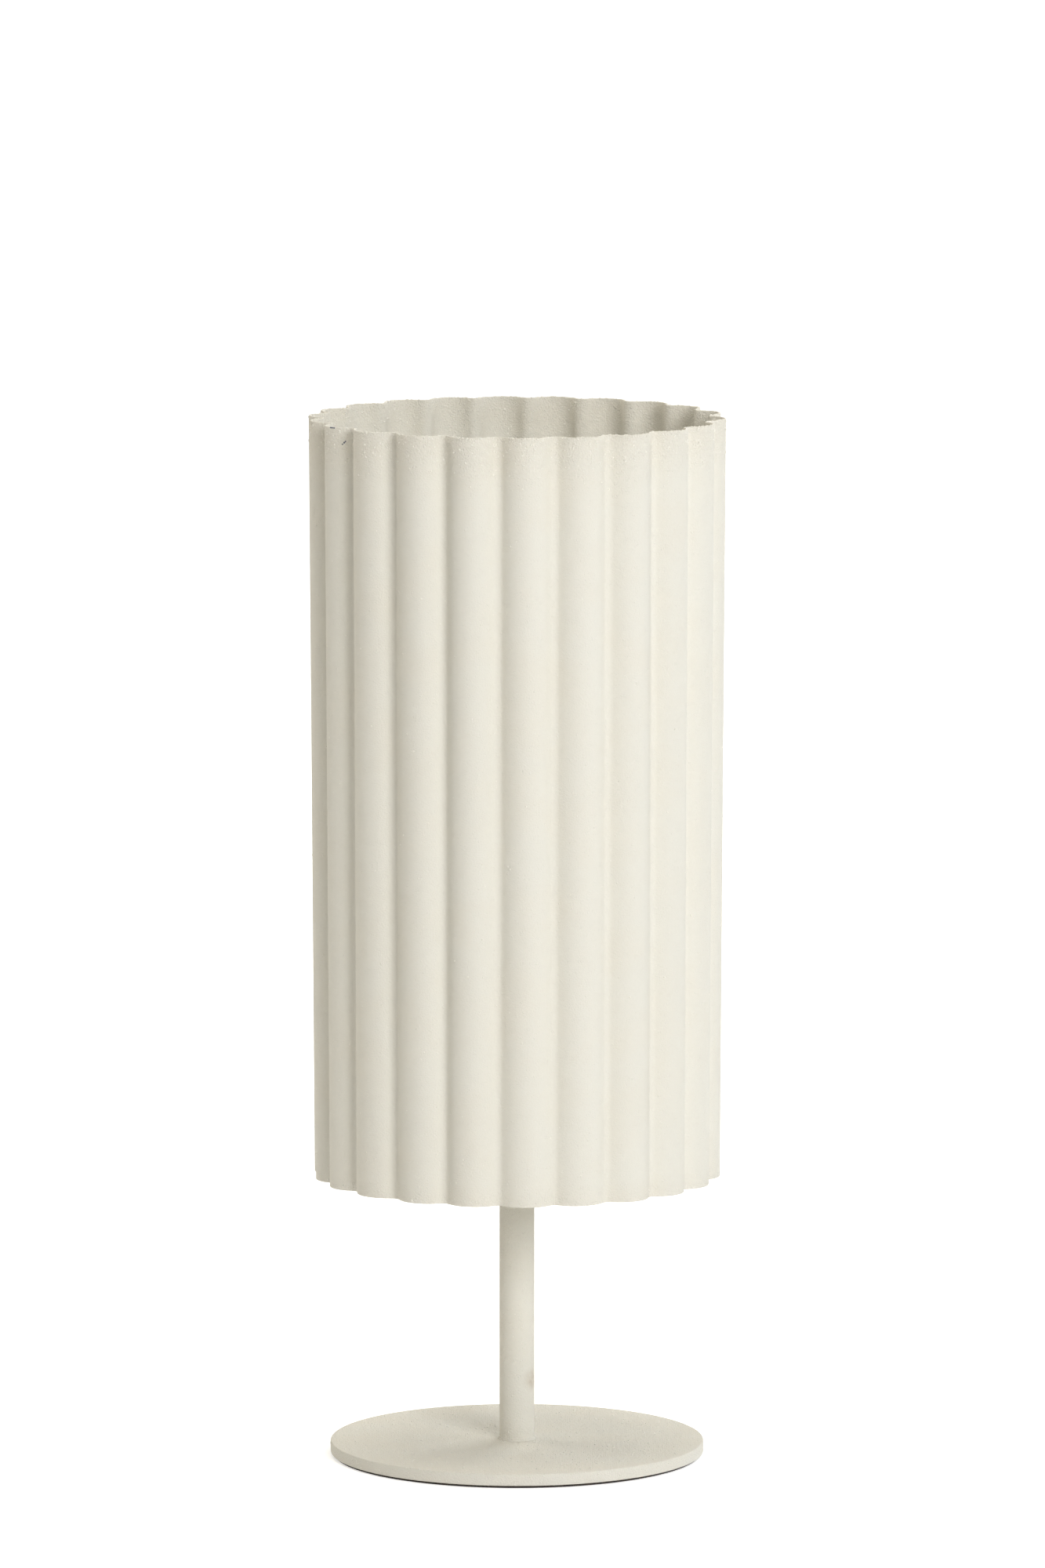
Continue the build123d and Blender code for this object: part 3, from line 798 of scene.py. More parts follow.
class LAMP_OT_shade(bpy.types.Operator):
    """Ribbed shade of painted sheet steel"""

    bl_idname = "lamp.shade"
    bl_label = "Shade"

    # Turn from the front in degrees, drop below the rim, and size of each chip in the paint
    chips = (
        (-62.3, 0.5, 0.55),
        (-61.7, 0.5, 0.55),
        (-61.1, 0.5, 0.5),
        (-58.3, 6.5, 0.35),
        (-58.6, 7.1, 0.4),
        (-58.9, 7.8, 0.35),
        (-129.0, 0.5, 0.7),
    )

    def execute(self, context):
        sizes = plain(context.scene.lamp_shade)
        loops = shade_loops(sizes)
        points = []
        for height, inward in loops:
            ring = RibSection(sizes, height).ring(inward)
            points += [(x, y, height) for x, y in ring]
        faces = grid_faces(len(loops), len(ring), close_rows=True)
        rim = high("shade").z
        chips = []
        for turn, drop, radius in self.chips:
            height = rim - drop * MM
            spot = RibSection(sizes, height).surface(FRONT + math.radians(turn))
            chips.append(((*spot, height), radius * MM))
        gritty_ends = [(rim, 30 * MM, 0.9), (low("shade").z, 12 * MM, 0.5)]
        paint = sand_paint("shade_paint", gritty_ends, coarse=0.06, chips=chips)
        piece = add_piece("shade_skin", points, faces, STILL, paint)
        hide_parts("shade")
        return {"FINISHED"}


class LAMP_OT_foot(bpy.types.Operator):
    """Round steel foot on its felt pad"""

    bl_idname = "lamp.foot"
    bl_label = "Foot"

    edge_rounding = 0.5 * MM
    screw_gap = 0.25 * MM
    screw_recess = 4 * MM
    top_rings = (0.96, 0.8, 0.6, 0.4, 0.2, 0.1)
    edge_waviness = 0.08 * MM
    edge_reach = 3 * MM
    pad_rounding = 0.35 * MM
    pad_raggedness = 0.15 * MM
    pad_reach = 1 * MM
    pad_middle = 2 * MM
    segments = 192
    crease = math.radians(50)

    def execute(self, context):
        self.disc()
        self.pad()
        return {"FINISHED"}

    def disc(self):
        """Steel disc, a little uneven round its edge, with the hole for its screw."""
        bottom, top = low("base_plate").z, high("base_plate").z
        radius = high("base_plate").x
        screw = high("base_screw").x
        edge = self.edge_rounding
        profile = [(screw + self.screw_gap, bottom)]
        profile += arc((radius - edge, bottom + edge), edge, -90, 0, 6)
        profile += arc((radius - edge, top - edge), edge, 0, 90, 6)
        profile += [(radius * share, top) for share in self.top_rings]
        profile += [(screw / 2, top), (screw / 2, bottom + self.screw_recess)]

        def uneven(r, z, turn):
            near_edge = max(0.0, 1 - (radius - r) / self.edge_reach)
            return r + ripple(turn, z, 1) * self.edge_waviness * near_edge, z

        points, faces = lathe(profile, self.segments, closed=True, shape=uneven)
        paint = sand_paint("foot_paint", [(top, 0.6 * MM, 0.8)], coarse=0.1, relief=1.3)
        disc = add_piece("foot_disc", points, faces, STILL, paint, self.crease)
        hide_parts("base_plate")

    def pad(self):
        """Felt pad with a slightly ragged edge."""
        radius, top = high("base_pad").x, high("base_pad").z
        edge = self.pad_rounding
        profile = [(self.pad_middle, 0.0)]
        profile += arc((radius - edge, edge), edge, -90, 0, 4)
        profile += arc((radius - edge, top - edge), edge, 0, 90, 4)
        profile += [(self.pad_middle, top)]

        def ragged(r, z, turn):
            near_edge = max(0.0, 1 - (radius - r) / self.pad_reach)
            return r + ripple(turn, 0, 5, (5, 17, 41)) * self.pad_raggedness * near_edge, z

        points, faces = lathe(profile, self.segments, shape=ragged)
        cloth = felt("dark_felt", (0.020, 0.015, 0.012), (0.075, 0.055, 0.045))
        pad = add_piece("felt_pad", points, faces, STILL, cloth, self.crease)
        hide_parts("base_pad")


class LAMP_OT_stem(bpy.types.Operator):
    """Stem tube with its cable grommet and the paint gathered at its foot"""

    bl_idname = "lamp.stem"
    bl_label = "Stem"

    stain_turn = math.radians(-30)
    stain_height = 35 * MM
    stain_radius = 7 * MM
    bead_height = 1.6 * MM
    bead_width = 0.3 * MM
    bead_unevenness = 0.35
    overlap = 0.1 * MM
    segments = 96

    def execute(self, context):
        bottom, radius = low("stem_tube").z, high("stem_tube").x
        stain_place = (
            radius * math.cos(self.stain_turn),
            radius * math.sin(self.stain_turn),
            self.stain_height,
        )
        stain = (stain_place, self.stain_radius, (0.55, 0.46, 0.35))
        paint = sand_paint("stem_paint", [(bottom, 14 * MM, 0.4)], coarse=0.3, stain=stain)
        paint_node("stem_tube", paint)
        rubber = moulded("cream_rubber", (0.62, 0.59, 0.52), (0.55, 0.52, 0.45), roughness=0.6)
        paint_node("cable_grommet", rubber)

        base = bottom - 0.05 * MM
        height, width = self.bead_height, self.bead_width
        profile = [
            (radius - self.overlap, base),
            (radius + width + 0.4 * MM, base),
            (radius + width + 0.1 * MM, base + height * 0.2),
            (radius + width, base + height * 0.4),
            (radius + width * 0.8, base + height * 0.6),
            (radius + width * 0.25, base + height * 0.9),
            (radius - self.overlap, base + height * 1.1),
        ]

        def lumpy(r, z, turn):
            out = max(0.0, r - radius)
            swell = 1 + self.bead_unevenness * ripple(turn, z * 9, 3, (4, 9, 23))
            return radius + out * swell if out else r, z

        points, faces = lathe(profile, self.segments, closed=True, shape=lumpy)
        add_piece("stem_foot_paint", points, faces, STILL, paint)
        return {"FINISHED"}


class LAMP_OT_carrier(bpy.types.Operator):
    """Wheel that carries the shade, its weld beads, and the nut, washer, nipple and bushes"""

    bl_idname = "lamp.carrier"
    bl_label = "Shade carrier"

    zinc_nodes = (
        "base_screw",
        "stem_foot_bush",
        "stem_top_bush",
        "lamp_nipple",
        "clamp_washer",
        "clamp_nut",
        "terminal_screws",
    )
    bead_valleys = (0, 4, 7, 11, 15, 18)
    bead_length = 5 * MM
    bead_radius = 0.744 * MM
    bead_sink = 0.75 * MM
    bead_ripples = 7
    ripple_height = 0.08
    bulge_power = 0.4
    tip_swell = 0.05

    def execute(self, context):
        paint = sand_paint("wheel_paint", [], coarse=0.1)
        paint_node("shade_wheel", paint)
        zinc = metal("zinc_steel", (0.62, 0.63, 0.64), (0.42, 0.43, 0.45), roughness=0.28)
        for node in self.zinc_nodes:
            paint_node(node, zinc)

        wheel_radius = (high("shade_wheel").y - low("shade_wheel").y) / 2
        under = low("shade_wheel").z
        pitch = math.tau / context.scene.lamp_shade.ribs
        points, faces = [], []
        for valley in self.bead_valleys:
            middle = FRONT + (valley + 0.5) * pitch
            middle += stray(middle)
            self.add_bead(points, faces, middle, wheel_radius, under)
        beads = add_piece("weld_beads", points, faces, STILL, paint)
        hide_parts("wheel_tacks")
        return {"FINISHED"}

    def add_bead(self, points, faces, middle, wheel_radius, under):
        """One fillet weld with its ripples, between the wheel's underside and the sheet."""
        steps, sides = 28, 10
        first = len(points)
        sweep = self.bead_length / wheel_radius
        for step in range(steps + 1):
            share = step / steps
            turn = middle + sweep * (share - 0.5)
            swell = self.tip_swell
            if 0 < step < steps:
                swell = math.sin(math.pi * share) ** self.bulge_power
            swell *= 1 + self.ripple_height * math.sin(share * math.tau * self.bead_ripples)
            centre = (wheel_radius - self.bead_sink, under - self.bead_sink)
            for r, z in arc(centre, self.bead_radius * swell, 360, 0, sides)[:-1]:
                points.append((r * math.cos(turn), r * math.sin(turn), z))
        faces += grid_faces(steps + 1, sides, first)
        faces += end_faces(steps + 1, sides, first)


THREAD_PITCH = 3.629 * MM


def thread_fade(z, bottom, top):
    """How far a thread is formed at a height: it runs out over half a turn at both ends."""
    return min(1.0, max(0.0, min(z - bottom, top - z) / (THREAD_PITCH / 2)))


def threaded_tube(inner, outer, bottom, top, depth, start_turn=0.0):
    """Closed tube whose wall is rolled to a right-hand round thread between two heights."""
    segments, rows_per_turn = 96, 16
    rows = int((top - bottom) / THREAD_PITCH * rows_per_turn)
    points = []
    heights = [mix(bottom, top, row / rows) for row in range(rows + 1)]
    for radius, order in ((outer, heights), (inner, heights[::-1])):
        for z in order:
            fade = thread_fade(z, bottom, top)
            for step in range(segments):
                turn = math.tau * step / segments
                wave = math.cos(math.tau * z / THREAD_PITCH - turn + start_turn)
                r = radius + depth / 2 * fade * wave
                points.append((r * math.cos(turn), r * math.sin(turn), z))
    faces = grid_faces(2 * (rows + 1), segments, close_rows=True)
    return points, faces


class LAMP_OT_holder(bpy.types.Operator):
    """Lampholder with its contacts and its rolled thread"""

    bl_idname = "lamp.holder"
    bl_label = "Lampholder"

    thread_depth = 0.7 * MM
    bore_radius = 13.6 * MM
    sleeve_gap = 0.05 * MM
    sleeve_wall = 0.25 * MM
    sleeve_above_contact = 1.0 * MM
    sleeve_below_mouth = 1.2 * MM
    crease = math.radians(60)

    def execute(self, context):
        black = moulded(
            "black_plastic", (0.012, 0.012, 0.013), (0.03, 0.03, 0.032), roughness=0.32
        )
        for node in ("holder_cap", "holder_body", "holder_insert", "holder_lock_screw"):
            paint_node(node, black)
        brass = metal(
            "contact_brass", (0.80, 0.60, 0.30), (0.50, 0.36, 0.18), roughness=0.22
        )
        for node in ("holder_terminals", "centre_contact", "side_contact"):
            paint_node(node, brass)
        outer = self.bore_radius - self.sleeve_gap - self.thread_depth / 2
        points, faces = threaded_tube(
            outer - self.sleeve_wall,
            outer,
            high("side_contact").z + self.sleeve_above_contact,
            high("holder_body").z - self.sleeve_below_mouth,
            self.thread_depth,
            start_turn=math.pi,
        )
        add_piece("holder_thread", points, faces, STILL, brass, self.crease)
        return {"FINISHED"}


class LAMP_OT_bulb(bpy.types.Operator):
    """Clear filament bulb with its screw cap"""

    bl_idname = "lamp.bulb"
    bl_label = "Bulb"

    cap_thread = 0.95 * MM
    cap_radius = 12.62 * MM
    cap_wall = 0.35 * MM
    cap_thread_foot = 1.6 * MM
    cap_thread_end = 2.4 * MM
    cap_segments = 96
    eyelet_segments = 64
    eyelet_bore = 0.05 * MM
    tube_radius = 15 * MM
    tube_wall = 0.7 * MM
    neck_radius = 12.0 * MM
    neck_gap = 0.1 * MM
    shoulder_height = 12 * MM
    filament_count = 4
    filament_radius = 0.9 * MM
    filament_foot_circle = 8.0 * MM
    filament_top_circle = 5.0 * MM
    filament_beads = 28
    filament_bead_swell = 0.05
    filament_gap = 0.1 * MM
    filament_crease = math.radians(50)
    bare_rows = 2
    bare_end_share = 0.45
    crease = math.radians(60)

    def execute(self, context):
        plated = metal("bulb_metal", (0.78, 0.78, 0.77), (0.60, 0.60, 0.60), roughness=0.16)
        black_glass = moulded(
            "black_glass", (0.008, 0.008, 0.010), (0.012, 0.012, 0.014), roughness=0.05
        )
        solder = metal(
            "eyelet_brass", (0.74, 0.66, 0.52), (0.55, 0.50, 0.42), roughness=0.25
        )
        glass = clear_glass("clear_glass", (0.94, 0.96, 0.96))
        glow = phosphor("phosphor")
        paint_node("bulb_insulator", black_glass)
        paint_node("bulb_leads", plated)
        paint_node("bulb_mount", glass)
        self.cap(plated)
        self.eyelet(solder)
        self.glass(glass)
        self.filaments(glow)
        return {"FINISHED"}

    def turned(self, name, profile, material):
        """Part of the screw cap, turned from its closed section."""
        points, faces = lathe(profile, self.cap_segments, closed=True)
        add_piece(name, points, faces, TURNING, material, self.crease)

    def cap(self, material):
        """Screw cap with its thread rolled into the sheet and a rolled upper edge."""
        bottom, top = low("bulb_shell").z, high("bulb_shell").z
        outer, inner = self.cap_radius, self.cap_radius - self.cap_wall
        points, faces = threaded_tube(
            inner,
            outer,
            bottom + self.cap_thread_foot,
            top - self.cap_thread_end,
            self.cap_thread,
        )
        piece = add_piece("screw_cap", points, faces, TURNING, material)
        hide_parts("bulb_shell")
        edge = high("bulb_shell").x
        skirt = [
            (inner, top - 2.5 * MM),
            (outer, top - 2.5 * MM),
            (outer, top - 1.6 * MM),
            (edge - 0.5 * MM, top - 0.5 * MM),
            (edge - 0.1 * MM, top),
            (edge - 0.5 * MM, top),
            (edge - 0.9 * MM, top - 0.35 * MM),
            (inner, top - 1.5 * MM),
        ]
        self.turned("cap_skirt", skirt, material)
        toe = [
            (outer - 2.1 * MM, bottom + 0.05 * MM),
            (outer - 1.5 * MM, bottom + 0.05 * MM),
            (outer - 0.25 * MM, bottom + 1.0 * MM),
            (outer, bottom + 1.7 * MM),
            (inner, bottom + 1.7 * MM),
            (outer - 0.6 * MM, bottom + 1.15 * MM),
            (outer - 1.7 * MM, bottom + 0.35 * MM),
        ]
        self.turned("cap_toe", toe, material)

    def eyelet(self, material):
        """Foot contact with its blob of solder."""
        bottom, top = low("bulb_eyelet").z, high("bulb_eyelet").z
        radius = high("bulb_eyelet").x
        profile = [
            (self.eyelet_bore, bottom),
            (1.4 * MM, bottom + 0.02 * MM),
            (2.0 * MM, bottom + 0.3 * MM),
            (2.5 * MM, bottom + 0.45 * MM),
            (radius - 0.5 * MM, bottom + 0.5 * MM),
            (radius - 0.1 * MM, bottom + 0.7 * MM),
            (radius, bottom + 1.0 * MM),
            (radius, top),
            (self.eyelet_bore, top),
        ]
        points, faces = lathe(profile, self.eyelet_segments, closed=True)
        piece = add_piece(
            "foot_contact", points, faces, SLIDING, material, self.crease
        )
        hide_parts("bulb_eyelet")

    def glass(self, material):
        """Envelope with a domed top and a softly drawn shoulder."""
        bottom, top = low("bulb_glass").z, high("bulb_glass").z
        neck, tube, wall = self.neck_radius, self.tube_radius, self.tube_wall
        shoulder = high("bulb_shell").z
        steps = 12
        drawn = [(neck, bottom + self.neck_gap), (neck, shoulder)]
        for step in range(1, steps + 1):
            share = step / steps
            drawn.append((mix(neck, tube, smooth(share)), shoulder + self.shoulder_height * share))
        outside = drawn + arc((0, top - tube), tube, 0, 88, 22)
        inside = [(r - wall, z) for r, z in drawn]
        inside += arc((0, top - tube), tube - wall, 0, 88, 22)
        points, faces = lathe(outside + inside[::-1], self.cap_segments, closed=True)
        piece = add_piece("glass_tube", points, faces, TURNING, material)
        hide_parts("bulb_glass")

    def filaments(self, material):
        """Coated filaments, thinner at their ends."""
        bottom, top = low("bulb_filaments").z, high("bulb_filaments").z
        points, faces = [], []
        sides, rows, gap = 12, 60, self.filament_gap
        for index in range(self.filament_count):
            turn = math.tau * (index + 0.5) / self.filament_count
            first = len(points)
            for row in range(rows + 1):
                share = row / rows
                z = mix(bottom + gap, top - gap, share)
                out = mix(self.filament_foot_circle, self.filament_top_circle, share)
                centre = (out * math.cos(turn), out * math.sin(turn))
                wave = math.cos(share * math.tau * self.filament_beads)
                beaded = 1 - self.filament_bead_swell * wave
                bare = min(share, 1 - share) * rows < self.bare_rows
                r = self.filament_radius * (self.bare_end_share if bare else beaded)
                points += [(x, y, z) for x, y in arc(centre, r, 0, 360, sides)[:-1]]
            faces += grid_faces(rows + 1, sides, first)
            faces += end_faces(rows + 1, sides, first)
        piece = add_piece(
            "filaments", points, faces, TURNING, material, self.filament_crease
        )
        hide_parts("bulb_filaments")


class LAMP_OT_grit(bpy.types.Operator):
    """Loose grains of sand that stand out of the paint"""

    bl_idname = "lamp.grit"
    bl_label = "Grit"

    shade_grains = 620
    rim_grains = 900
    edge_grains = 520
    foot_grains = 520
    foot_edge_grains = 104
    stem_grains = 70
    seed = 22
    inside_share = 0.3
    valley_share = 0.3

    # Least, largest and most common radius of the grains, in millimetres
    wall_sizes = (0.22, 0.55, 0.32)
    edge_sizes = (0.25, 0.5, 0.35)
    foot_sizes = (0.25, 0.6, 0.35)
    foot_edge_sizes = (0.15, 0.35, 0.2)
    stem_sizes = (0.15, 0.4, 0.2)

    # Where grains gather below the rim and at the stem's foot; the spreads are in millimetres
    rim_drop = 0.6 * MM
    rim_spread = 9
    bead_lift = 0.3 * MM
    bead_spread = 2
    bead_reach = 0.4 * MM
    stem_foot_gap = 6 * MM
    stem_top_gap = 3 * MM

    # Shares of the sheet's thickness and of the foot's area on which grains lie
    edge_span = (0.1, 0.9)
    foot_span = (0.012, 0.985)

    # Form of a grain: its sides, and how much its length, its height and its corners vary
    sides = 6
    stretches = (0.75, 1.35)
    rises = (0.5, 0.9)
    wobbles = (0.85, 1.15)

    # Height of each ring of a grain's corners, and how far it is turned, in sides
    rings = ((0.55, 0.0), (-0.2, 0.5))

    def execute(self, context):
        sizes = plain(context.scene.lamp_shade)
        chance = random.Random(self.seed)
        # Painted highlight: the grains' paint is paler than the coat round them, so they show as
        # lit specks
        painted_grain_highlight_tone = (0.93, 0.91, 0.84)
        paint = sand_paint("grit_paint", [], coarse=0.0, relief=0.15, tone=painted_grain_highlight_tone)
        self.on_shade(sizes, chance, paint)
        self.on_foot(chance, paint)
        self.on_stem(chance, paint)
        return {"FINISHED"}

    def grain(self, points, faces, spot, normal, radius, chance):
        """One irregular grain, sunk half way into the surface."""
        first = len(points)
        normal = Vector(normal).normalized()
        across = normal.orthogonal().normalized()
        along = normal.cross(across)
        turn = chance.uniform(0, math.tau)
        across, along = (
            across * math.cos(turn) + along * math.sin(turn),
            along * math.cos(turn) - across * math.sin(turn),
        )
        stretch = chance.uniform(*self.stretches)
        rise = chance.uniform(*self.rises)
        for a, b, c in self.ball():
            wobble = radius * chance.uniform(*self.wobbles)
            points.append(
                Vector(spot)
                + across * a * wobble * stretch
                + along * b * wobble
                + normal * c * wobble * rise
            )
        faces += [tuple(first + corner for corner in face) for face in self.ball_faces()]

    def ball(self):
        """Points of a low round stone: its top, two rings and its bottom."""
        points = [(0, 0, 1)]
        for height, shift in self.rings:
            width = math.sqrt(1 - height**2)
            for step in range(self.sides):
                angle = math.tau * (step + shift) / self.sides
                points.append((width * math.cos(angle), width * math.sin(angle), height))
        return points + [(0, 0, -1)]

    def ball_faces(self):
        """Triangles of a low round stone."""
        faces = []
        upper, lower, last = 1, 1 + self.sides, 1 + 2 * self.sides
        for step in range(self.sides):
            after = (step + 1) % self.sides
            faces.append((0, upper + step, upper + after))
            faces.append((upper + step, lower + step, upper + after))
            faces.append((upper + after, lower + step, lower + after))
            faces.append((lower + step, last, lower + after))
        return faces

    def place_on_rib(self, chance):
        """Random place across a rib, more often on its nose than in a valley."""
        return chance.uniform(0, 2) if chance.random() < self.valley_share else chance.random()

    def on_shade(self, sizes, chance, paint):
        """Grains on both faces of the sheet, more of them near the rim, and on the rim itself."""
        points, faces = [], []
        bottom, top = low("shade").z, high("shade").z
        for index in range(self.shade_grains + self.rim_grains):
            near_rim = index >= self.shade_grains
            if near_rim:
                height = top - self.rim_drop - abs(chance.gauss(0, self.rim_spread)) * MM
            else:
                height = chance.uniform(bottom + MM, top - MM)
            way, depth = (-1, sizes.sheet) if chance.random() < self.inside_share else (1, 0.0)
            rib, share = chance.randrange(sizes.ribs), self.place_on_rib(chance)
            x, y, facing = RibSection(sizes, height).point(rib, share, depth)
            normal = (way * math.cos(facing), way * math.sin(facing), 0)
            radius = chance.triangular(*self.wall_sizes) * MM
            self.grain(points, faces, (x, y, height), normal, radius, chance)
        rim = RibSection(sizes, top)
        for _ in range(self.edge_grains):
            share = self.place_on_rib(chance)
            depth = chance.uniform(*self.edge_span) * sizes.sheet
            x, y, facing = rim.point(chance.randrange(sizes.ribs), share, depth)
            radius = chance.triangular(*self.edge_sizes) * MM
            self.grain(points, faces, (x, y, top - RIM_GAP), (0, 0, 1), radius, chance)
        add_piece("shade_grit", points, faces, STILL, paint)

    def on_foot(self, chance, paint):
        """Grains on top of the foot and round its edge."""
        points, faces = [], []
        radius, top = high("base_plate").x, high("base_plate").z
        for _ in range(self.foot_grains):
            reach = math.sqrt(chance.uniform(*self.foot_span)) * (radius - MM)
            turn = chance.uniform(0, math.tau)
            size = chance.triangular(*self.foot_sizes) * MM
            spot = (reach * math.cos(turn), reach * math.sin(turn), top)
            self.grain(points, faces, spot, (0, 0, 1), size, chance)
        for _ in range(self.foot_edge_grains):
            turn = chance.uniform(0, math.tau)
            height = chance.uniform(low("base_plate").z + MM, top - MM)
            size = chance.triangular(*self.foot_edge_sizes) * MM
            spot = (radius * math.cos(turn), radius * math.sin(turn), height)
            self.grain(points, faces, spot, (math.cos(turn), math.sin(turn), 0), size, chance)
        add_piece("foot_grit", points, faces, STILL, paint)

    def on_stem(self, chance, paint):
        """Grains along the stem, half of them gathered at its foot."""
        points, faces = [], []
        radius = high("stem_tube").x
        bottom, top = low("stem_tube").z, high("stem_tube").z
        for index in range(self.stem_grains):
            turn = chance.uniform(0, math.tau)
            if index % 2:
                height = bottom + self.bead_lift + abs(chance.gauss(0, self.bead_spread)) * MM
                reach = radius + self.bead_reach
            else:
                height = chance.uniform(bottom + self.stem_foot_gap, top - self.stem_top_gap)
                reach = radius
            size = chance.triangular(*self.stem_sizes) * MM
            spot = (reach * math.cos(turn), reach * math.sin(turn), height)
            self.grain(points, faces, spot, (math.cos(turn), math.sin(turn), 0), size, chance)
        add_piece("stem_grit", points, faces, STILL, paint)


# Camera: the photograph is 1333 by 2000 pixels, and its focal length is given in them
PICTURE_HEIGHT = 2000
FOCAL_PIXELS = 14766
SENSOR = 36.0
CAMERA_PLACE = (2.56 * MM, -5.225, 1.0131)
CAMERA_DIP = math.radians(7.667)
CAMERA_REACH = 60
LAMP_TARGET = Vector((0, 0, 0.25))
LAMP_DISTANCE = 3.2
FLOOR_GAP = 0.05 * MM


class LAMP_OT_stage(bpy.types.Operator):
    """Pale floor, soft lamps, surroundings and the camera"""

    bl_idname = "lamp.stage"
    bl_label = "Stage"

    # Name of the power setting, turn from the front and height in degrees, width, and colour
    lamps = (
        ("key", 26, 21, 1.3, (0.955, 0.97, 1.0)),
        ("front", 15, 21, 1.3, (1.0, 0.94, 0.86)),
        ("side", 90, 20, 2.0, (0.90, 0.935, 1.0)),
        ("back", 145, 32, 2.0, (0.96, 0.985, 1.0)),
        ("left", -60, 30, 2.0, (1.0, 0.95, 0.84)),
        ("rear", -120, 30, 2.0, (1.0, 0.94, 0.83)),
        ("top", 0, 90, 2.4, (1.0, 0.93, 0.80)),
    )

    # Half width of the floor, how far back it stays level, radius of its bend, and its top
    floor_half = 9.0
    floor_back = 6.0
    floor_bend = 2.0
    floor_top = 7.0
    paper = (0.92, 0.915, 0.90)

    # Depths between which the floor's glow to the camera rises to plain white, and its first value
    glow_start = 0.4
    glow_end = 2.5
    first_glow = 0.48

    def execute(self, context):
        scene = context.scene
        scene.view_settings.view_transform = "Standard"
        self.camera(scene)
        self.floor()
        self.surroundings(scene)
        for name, *place in self.lamps:
            self.lamp(name, getattr(scene.lamp_stage, name), *place)
        return {"FINISHED"}

    def camera(self, scene):
        """Camera at the photograph's place and angle."""
        data = bpy.data.cameras.new("camera")
        data.sensor_width = SENSOR
        data.lens = FOCAL_PIXELS / PICTURE_HEIGHT * SENSOR
        data.clip_end = CAMERA_REACH
        camera = bpy.data.objects.new("camera", data)
        camera.location = CAMERA_PLACE
        camera.rotation_euler = (math.pi / 2 - CAMERA_DIP, 0, 0)
        scene.collection.objects.link(camera)
        scene.camera = camera

    def floor(self):
        """Floor that runs up into a backdrop far behind."""
        half, back, bend = self.floor_half, self.floor_back, self.floor_bend
        level = -FLOOR_GAP
        line = [(-half, level)]
        line += arc((back, level + bend), bend, -90, 0, 9)
        line.append((back + bend, self.floor_top))
        points = [(x, y, z) for y, z in line for x in (-half, half)]
        faces = grid_faces(len(line), 2, close_columns=False)
        mesh = bpy.data.meshes.new("floor")
        mesh.from_pydata(points, [], faces)
        mesh.shade_smooth()
        material, tree, shader, vector = new_material("floor_paper")
        shader.inputs["Roughness"].default_value = 0.9
        shader.inputs["Base Color"].default_value = (*self.paper, 1.0)
        reach = wire(
            tree,
            "ShaderNodeMapRange",
            {
                "Value": separate_axis(tree, vector, "Y"),
                "From Min": self.glow_start,
                "From Max": self.glow_end,
                "To Min": self.first_glow,
                "To Max": 1.0,
            },
        ).outputs["Result"]
        glow = wire(tree, "ShaderNodeEmission", {"Color": (1, 1, 1), "Strength": reach})
        dark = wire(tree, "ShaderNodeEmission", {"Color": (0, 0, 0), "Strength": 0.0})
        lift = self.either(tree, seen_directly(tree), dark, glow)
        total = wire(tree, "ShaderNodeAddShader", {0: shader.outputs[0], 1: lift.outputs[0]})
        # From below the floor is clear, so the underside can be looked at
        below = wire(tree, "ShaderNodeNewGeometry").outputs["Backfacing"]
        whole = self.either(tree, below, total, wire(tree, "ShaderNodeBsdfTransparent"))
        tree.links.new(whole.outputs[0], tree.nodes["Material Output"].inputs["Surface"])
        mesh.materials.append(material)
        floor = bpy.data.objects.new("floor", mesh)
        bpy.context.scene.collection.objects.link(floor)

    @staticmethod
    def either(tree, share, first, second):
        """Mixes two shaders by a share."""
        inputs = {0: share, 1: first.outputs[0], 2: second.outputs[0]}
        return wire(tree, "ShaderNodeMixShader", inputs)

    def surroundings(self, scene):
        """World that lights the lamp evenly and shows plain white behind it."""
        world = bpy.data.worlds.new("studio")
        world.use_nodes = True
        scene.world = world
        tree = world.node_tree
        tree.nodes.clear()
        fill = wire(
            tree,
            "ShaderNodeBackground",
            {"Color": (0.94, 0.97, 1.0), "Strength": scene.lamp_stage.fill},
        )
        white = wire(tree, "ShaderNodeBackground", {"Color": (1, 1, 1), "Strength": 1.0})
        whole = self.either(tree, seen_directly(tree), fill, white)
        wire(tree, "ShaderNodeOutputWorld", {"Surface": whole.outputs[0]})

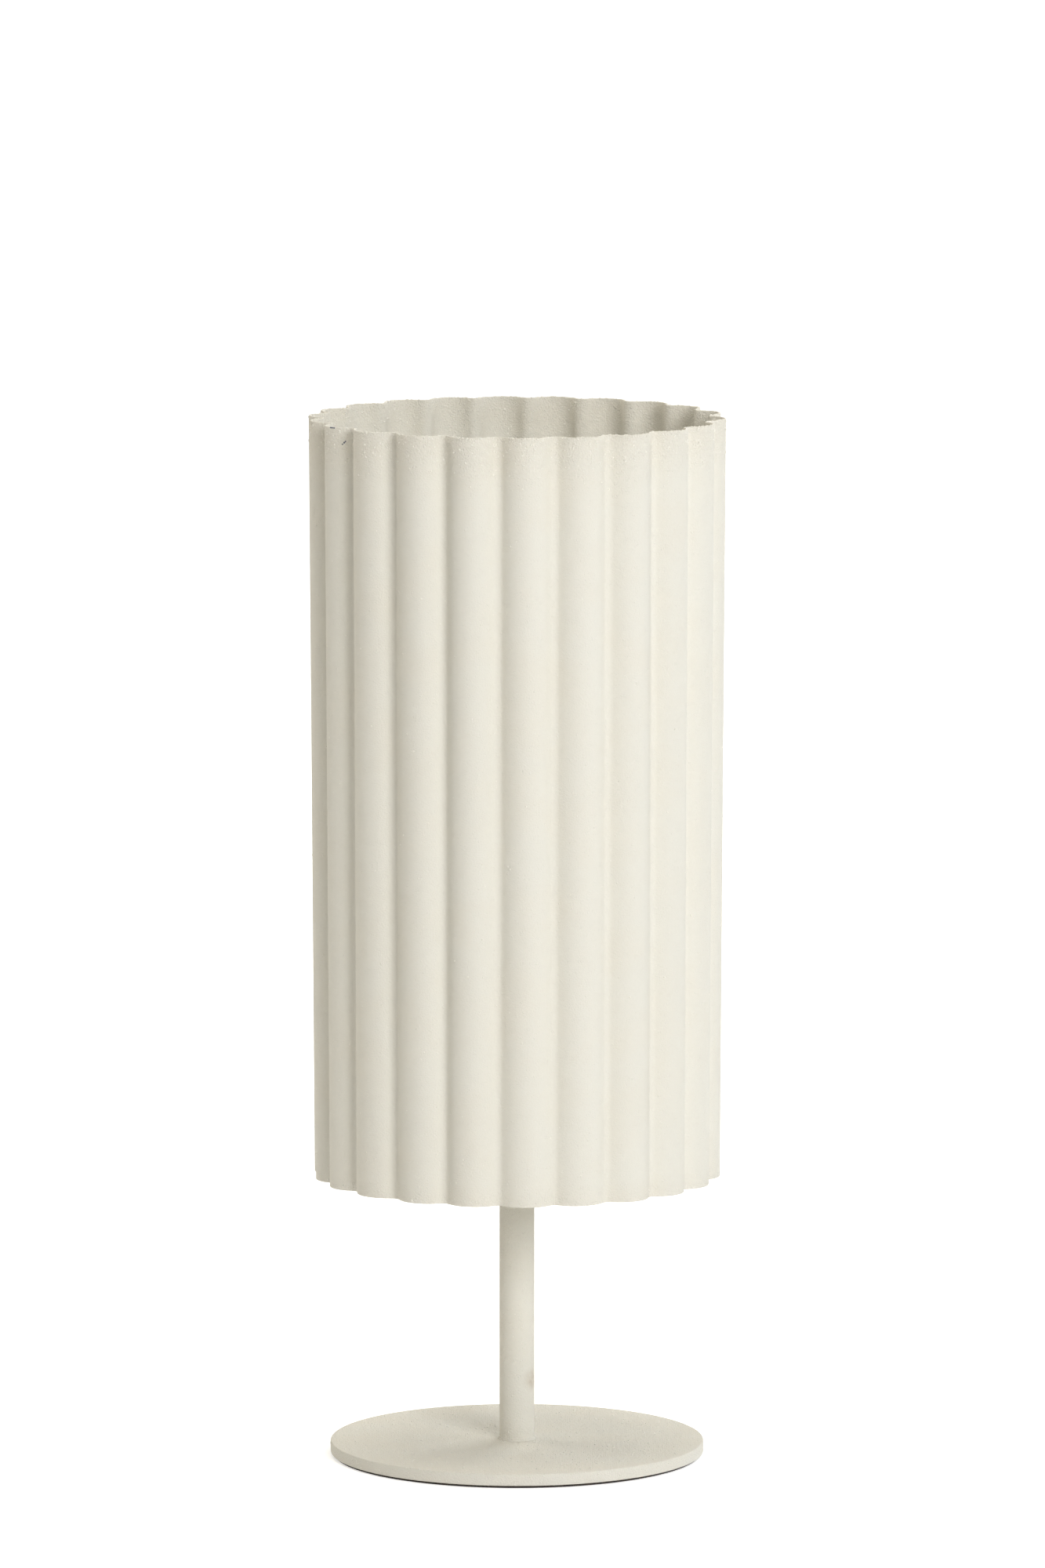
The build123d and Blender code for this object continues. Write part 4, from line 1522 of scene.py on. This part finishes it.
    def lamp(self, name, power, azimuth, elevation, size, colour):
        """Square soft lamp, placed by its turn from the front and its height in degrees."""
        turn, rise = FRONT + math.radians(azimuth), math.radians(elevation)
        away = Vector(
            (math.cos(turn) * math.cos(rise), math.sin(turn) * math.cos(rise), math.sin(rise))
        )
        data = bpy.data.lights.new(f"{name}_lamp", "AREA")
        data.energy = power
        data.size = size
        data.color = colour
        lamp = bpy.data.objects.new(f"{name}_lamp", data)
        lamp.location = LAMP_TARGET + away * LAMP_DISTANCE
        lamp.rotation_euler = away.to_track_quat("Z", "Y").to_euler()
        bpy.context.scene.collection.objects.link(lamp)


OPERATORS = (
    LAMP_OT_stage,
    LAMP_OT_shade,
    LAMP_OT_foot,
    LAMP_OT_stem,
    LAMP_OT_carrier,
    LAMP_OT_holder,
    LAMP_OT_bulb,
    LAMP_OT_grit,
)


class VIEW3D_PT_lamp(bpy.types.Panel):
    """Sidebar panel that lists the lamp's pieces"""

    bl_label = "Ribbed table lamp"
    bl_space_type = "VIEW_3D"
    bl_region_type = "UI"
    bl_category = "Lamp"

    def draw(self, context):
        for operator in OPERATORS:
            self.layout.operator(operator.bl_idname)
        for group in ("lamp_shade", "lamp_paint", "lamp_stage"):
            settings = getattr(context.scene, group)
            box = self.layout.box()
            for name in settings.__annotations__:
                box.prop(settings, name)


SETTINGS = {"lamp_shade": ShadeSizes, "lamp_paint": PaintLook, "lamp_stage": StageLook}


def register():
    """Registers the settings, operators and panel."""
    for name, settings in SETTINGS.items():
        bpy.utils.register_class(settings)
        setattr(bpy.types.Scene, name, PointerProperty(type=settings))
    for operator in OPERATORS:
        bpy.utils.register_class(operator)
    bpy.utils.register_class(VIEW3D_PT_lamp)


def unregister():
    """Takes the settings, operators and panel away again."""
    bpy.utils.unregister_class(VIEW3D_PT_lamp)
    for operator in reversed(OPERATORS):
        bpy.utils.unregister_class(operator)
    for name, settings in SETTINGS.items():
        delattr(bpy.types.Scene, name)
        bpy.utils.unregister_class(settings)


def main():
    """Builds the whole lamp on its stage."""
    register()
    bpy.ops.lamp.stage()
    bpy.ops.lamp.shade()
    bpy.ops.lamp.foot()
    bpy.ops.lamp.stem()
    bpy.ops.lamp.carrier()
    bpy.ops.lamp.holder()
    bpy.ops.lamp.bulb()
    bpy.ops.lamp.grit()


if __name__ == "__main__":
    main()
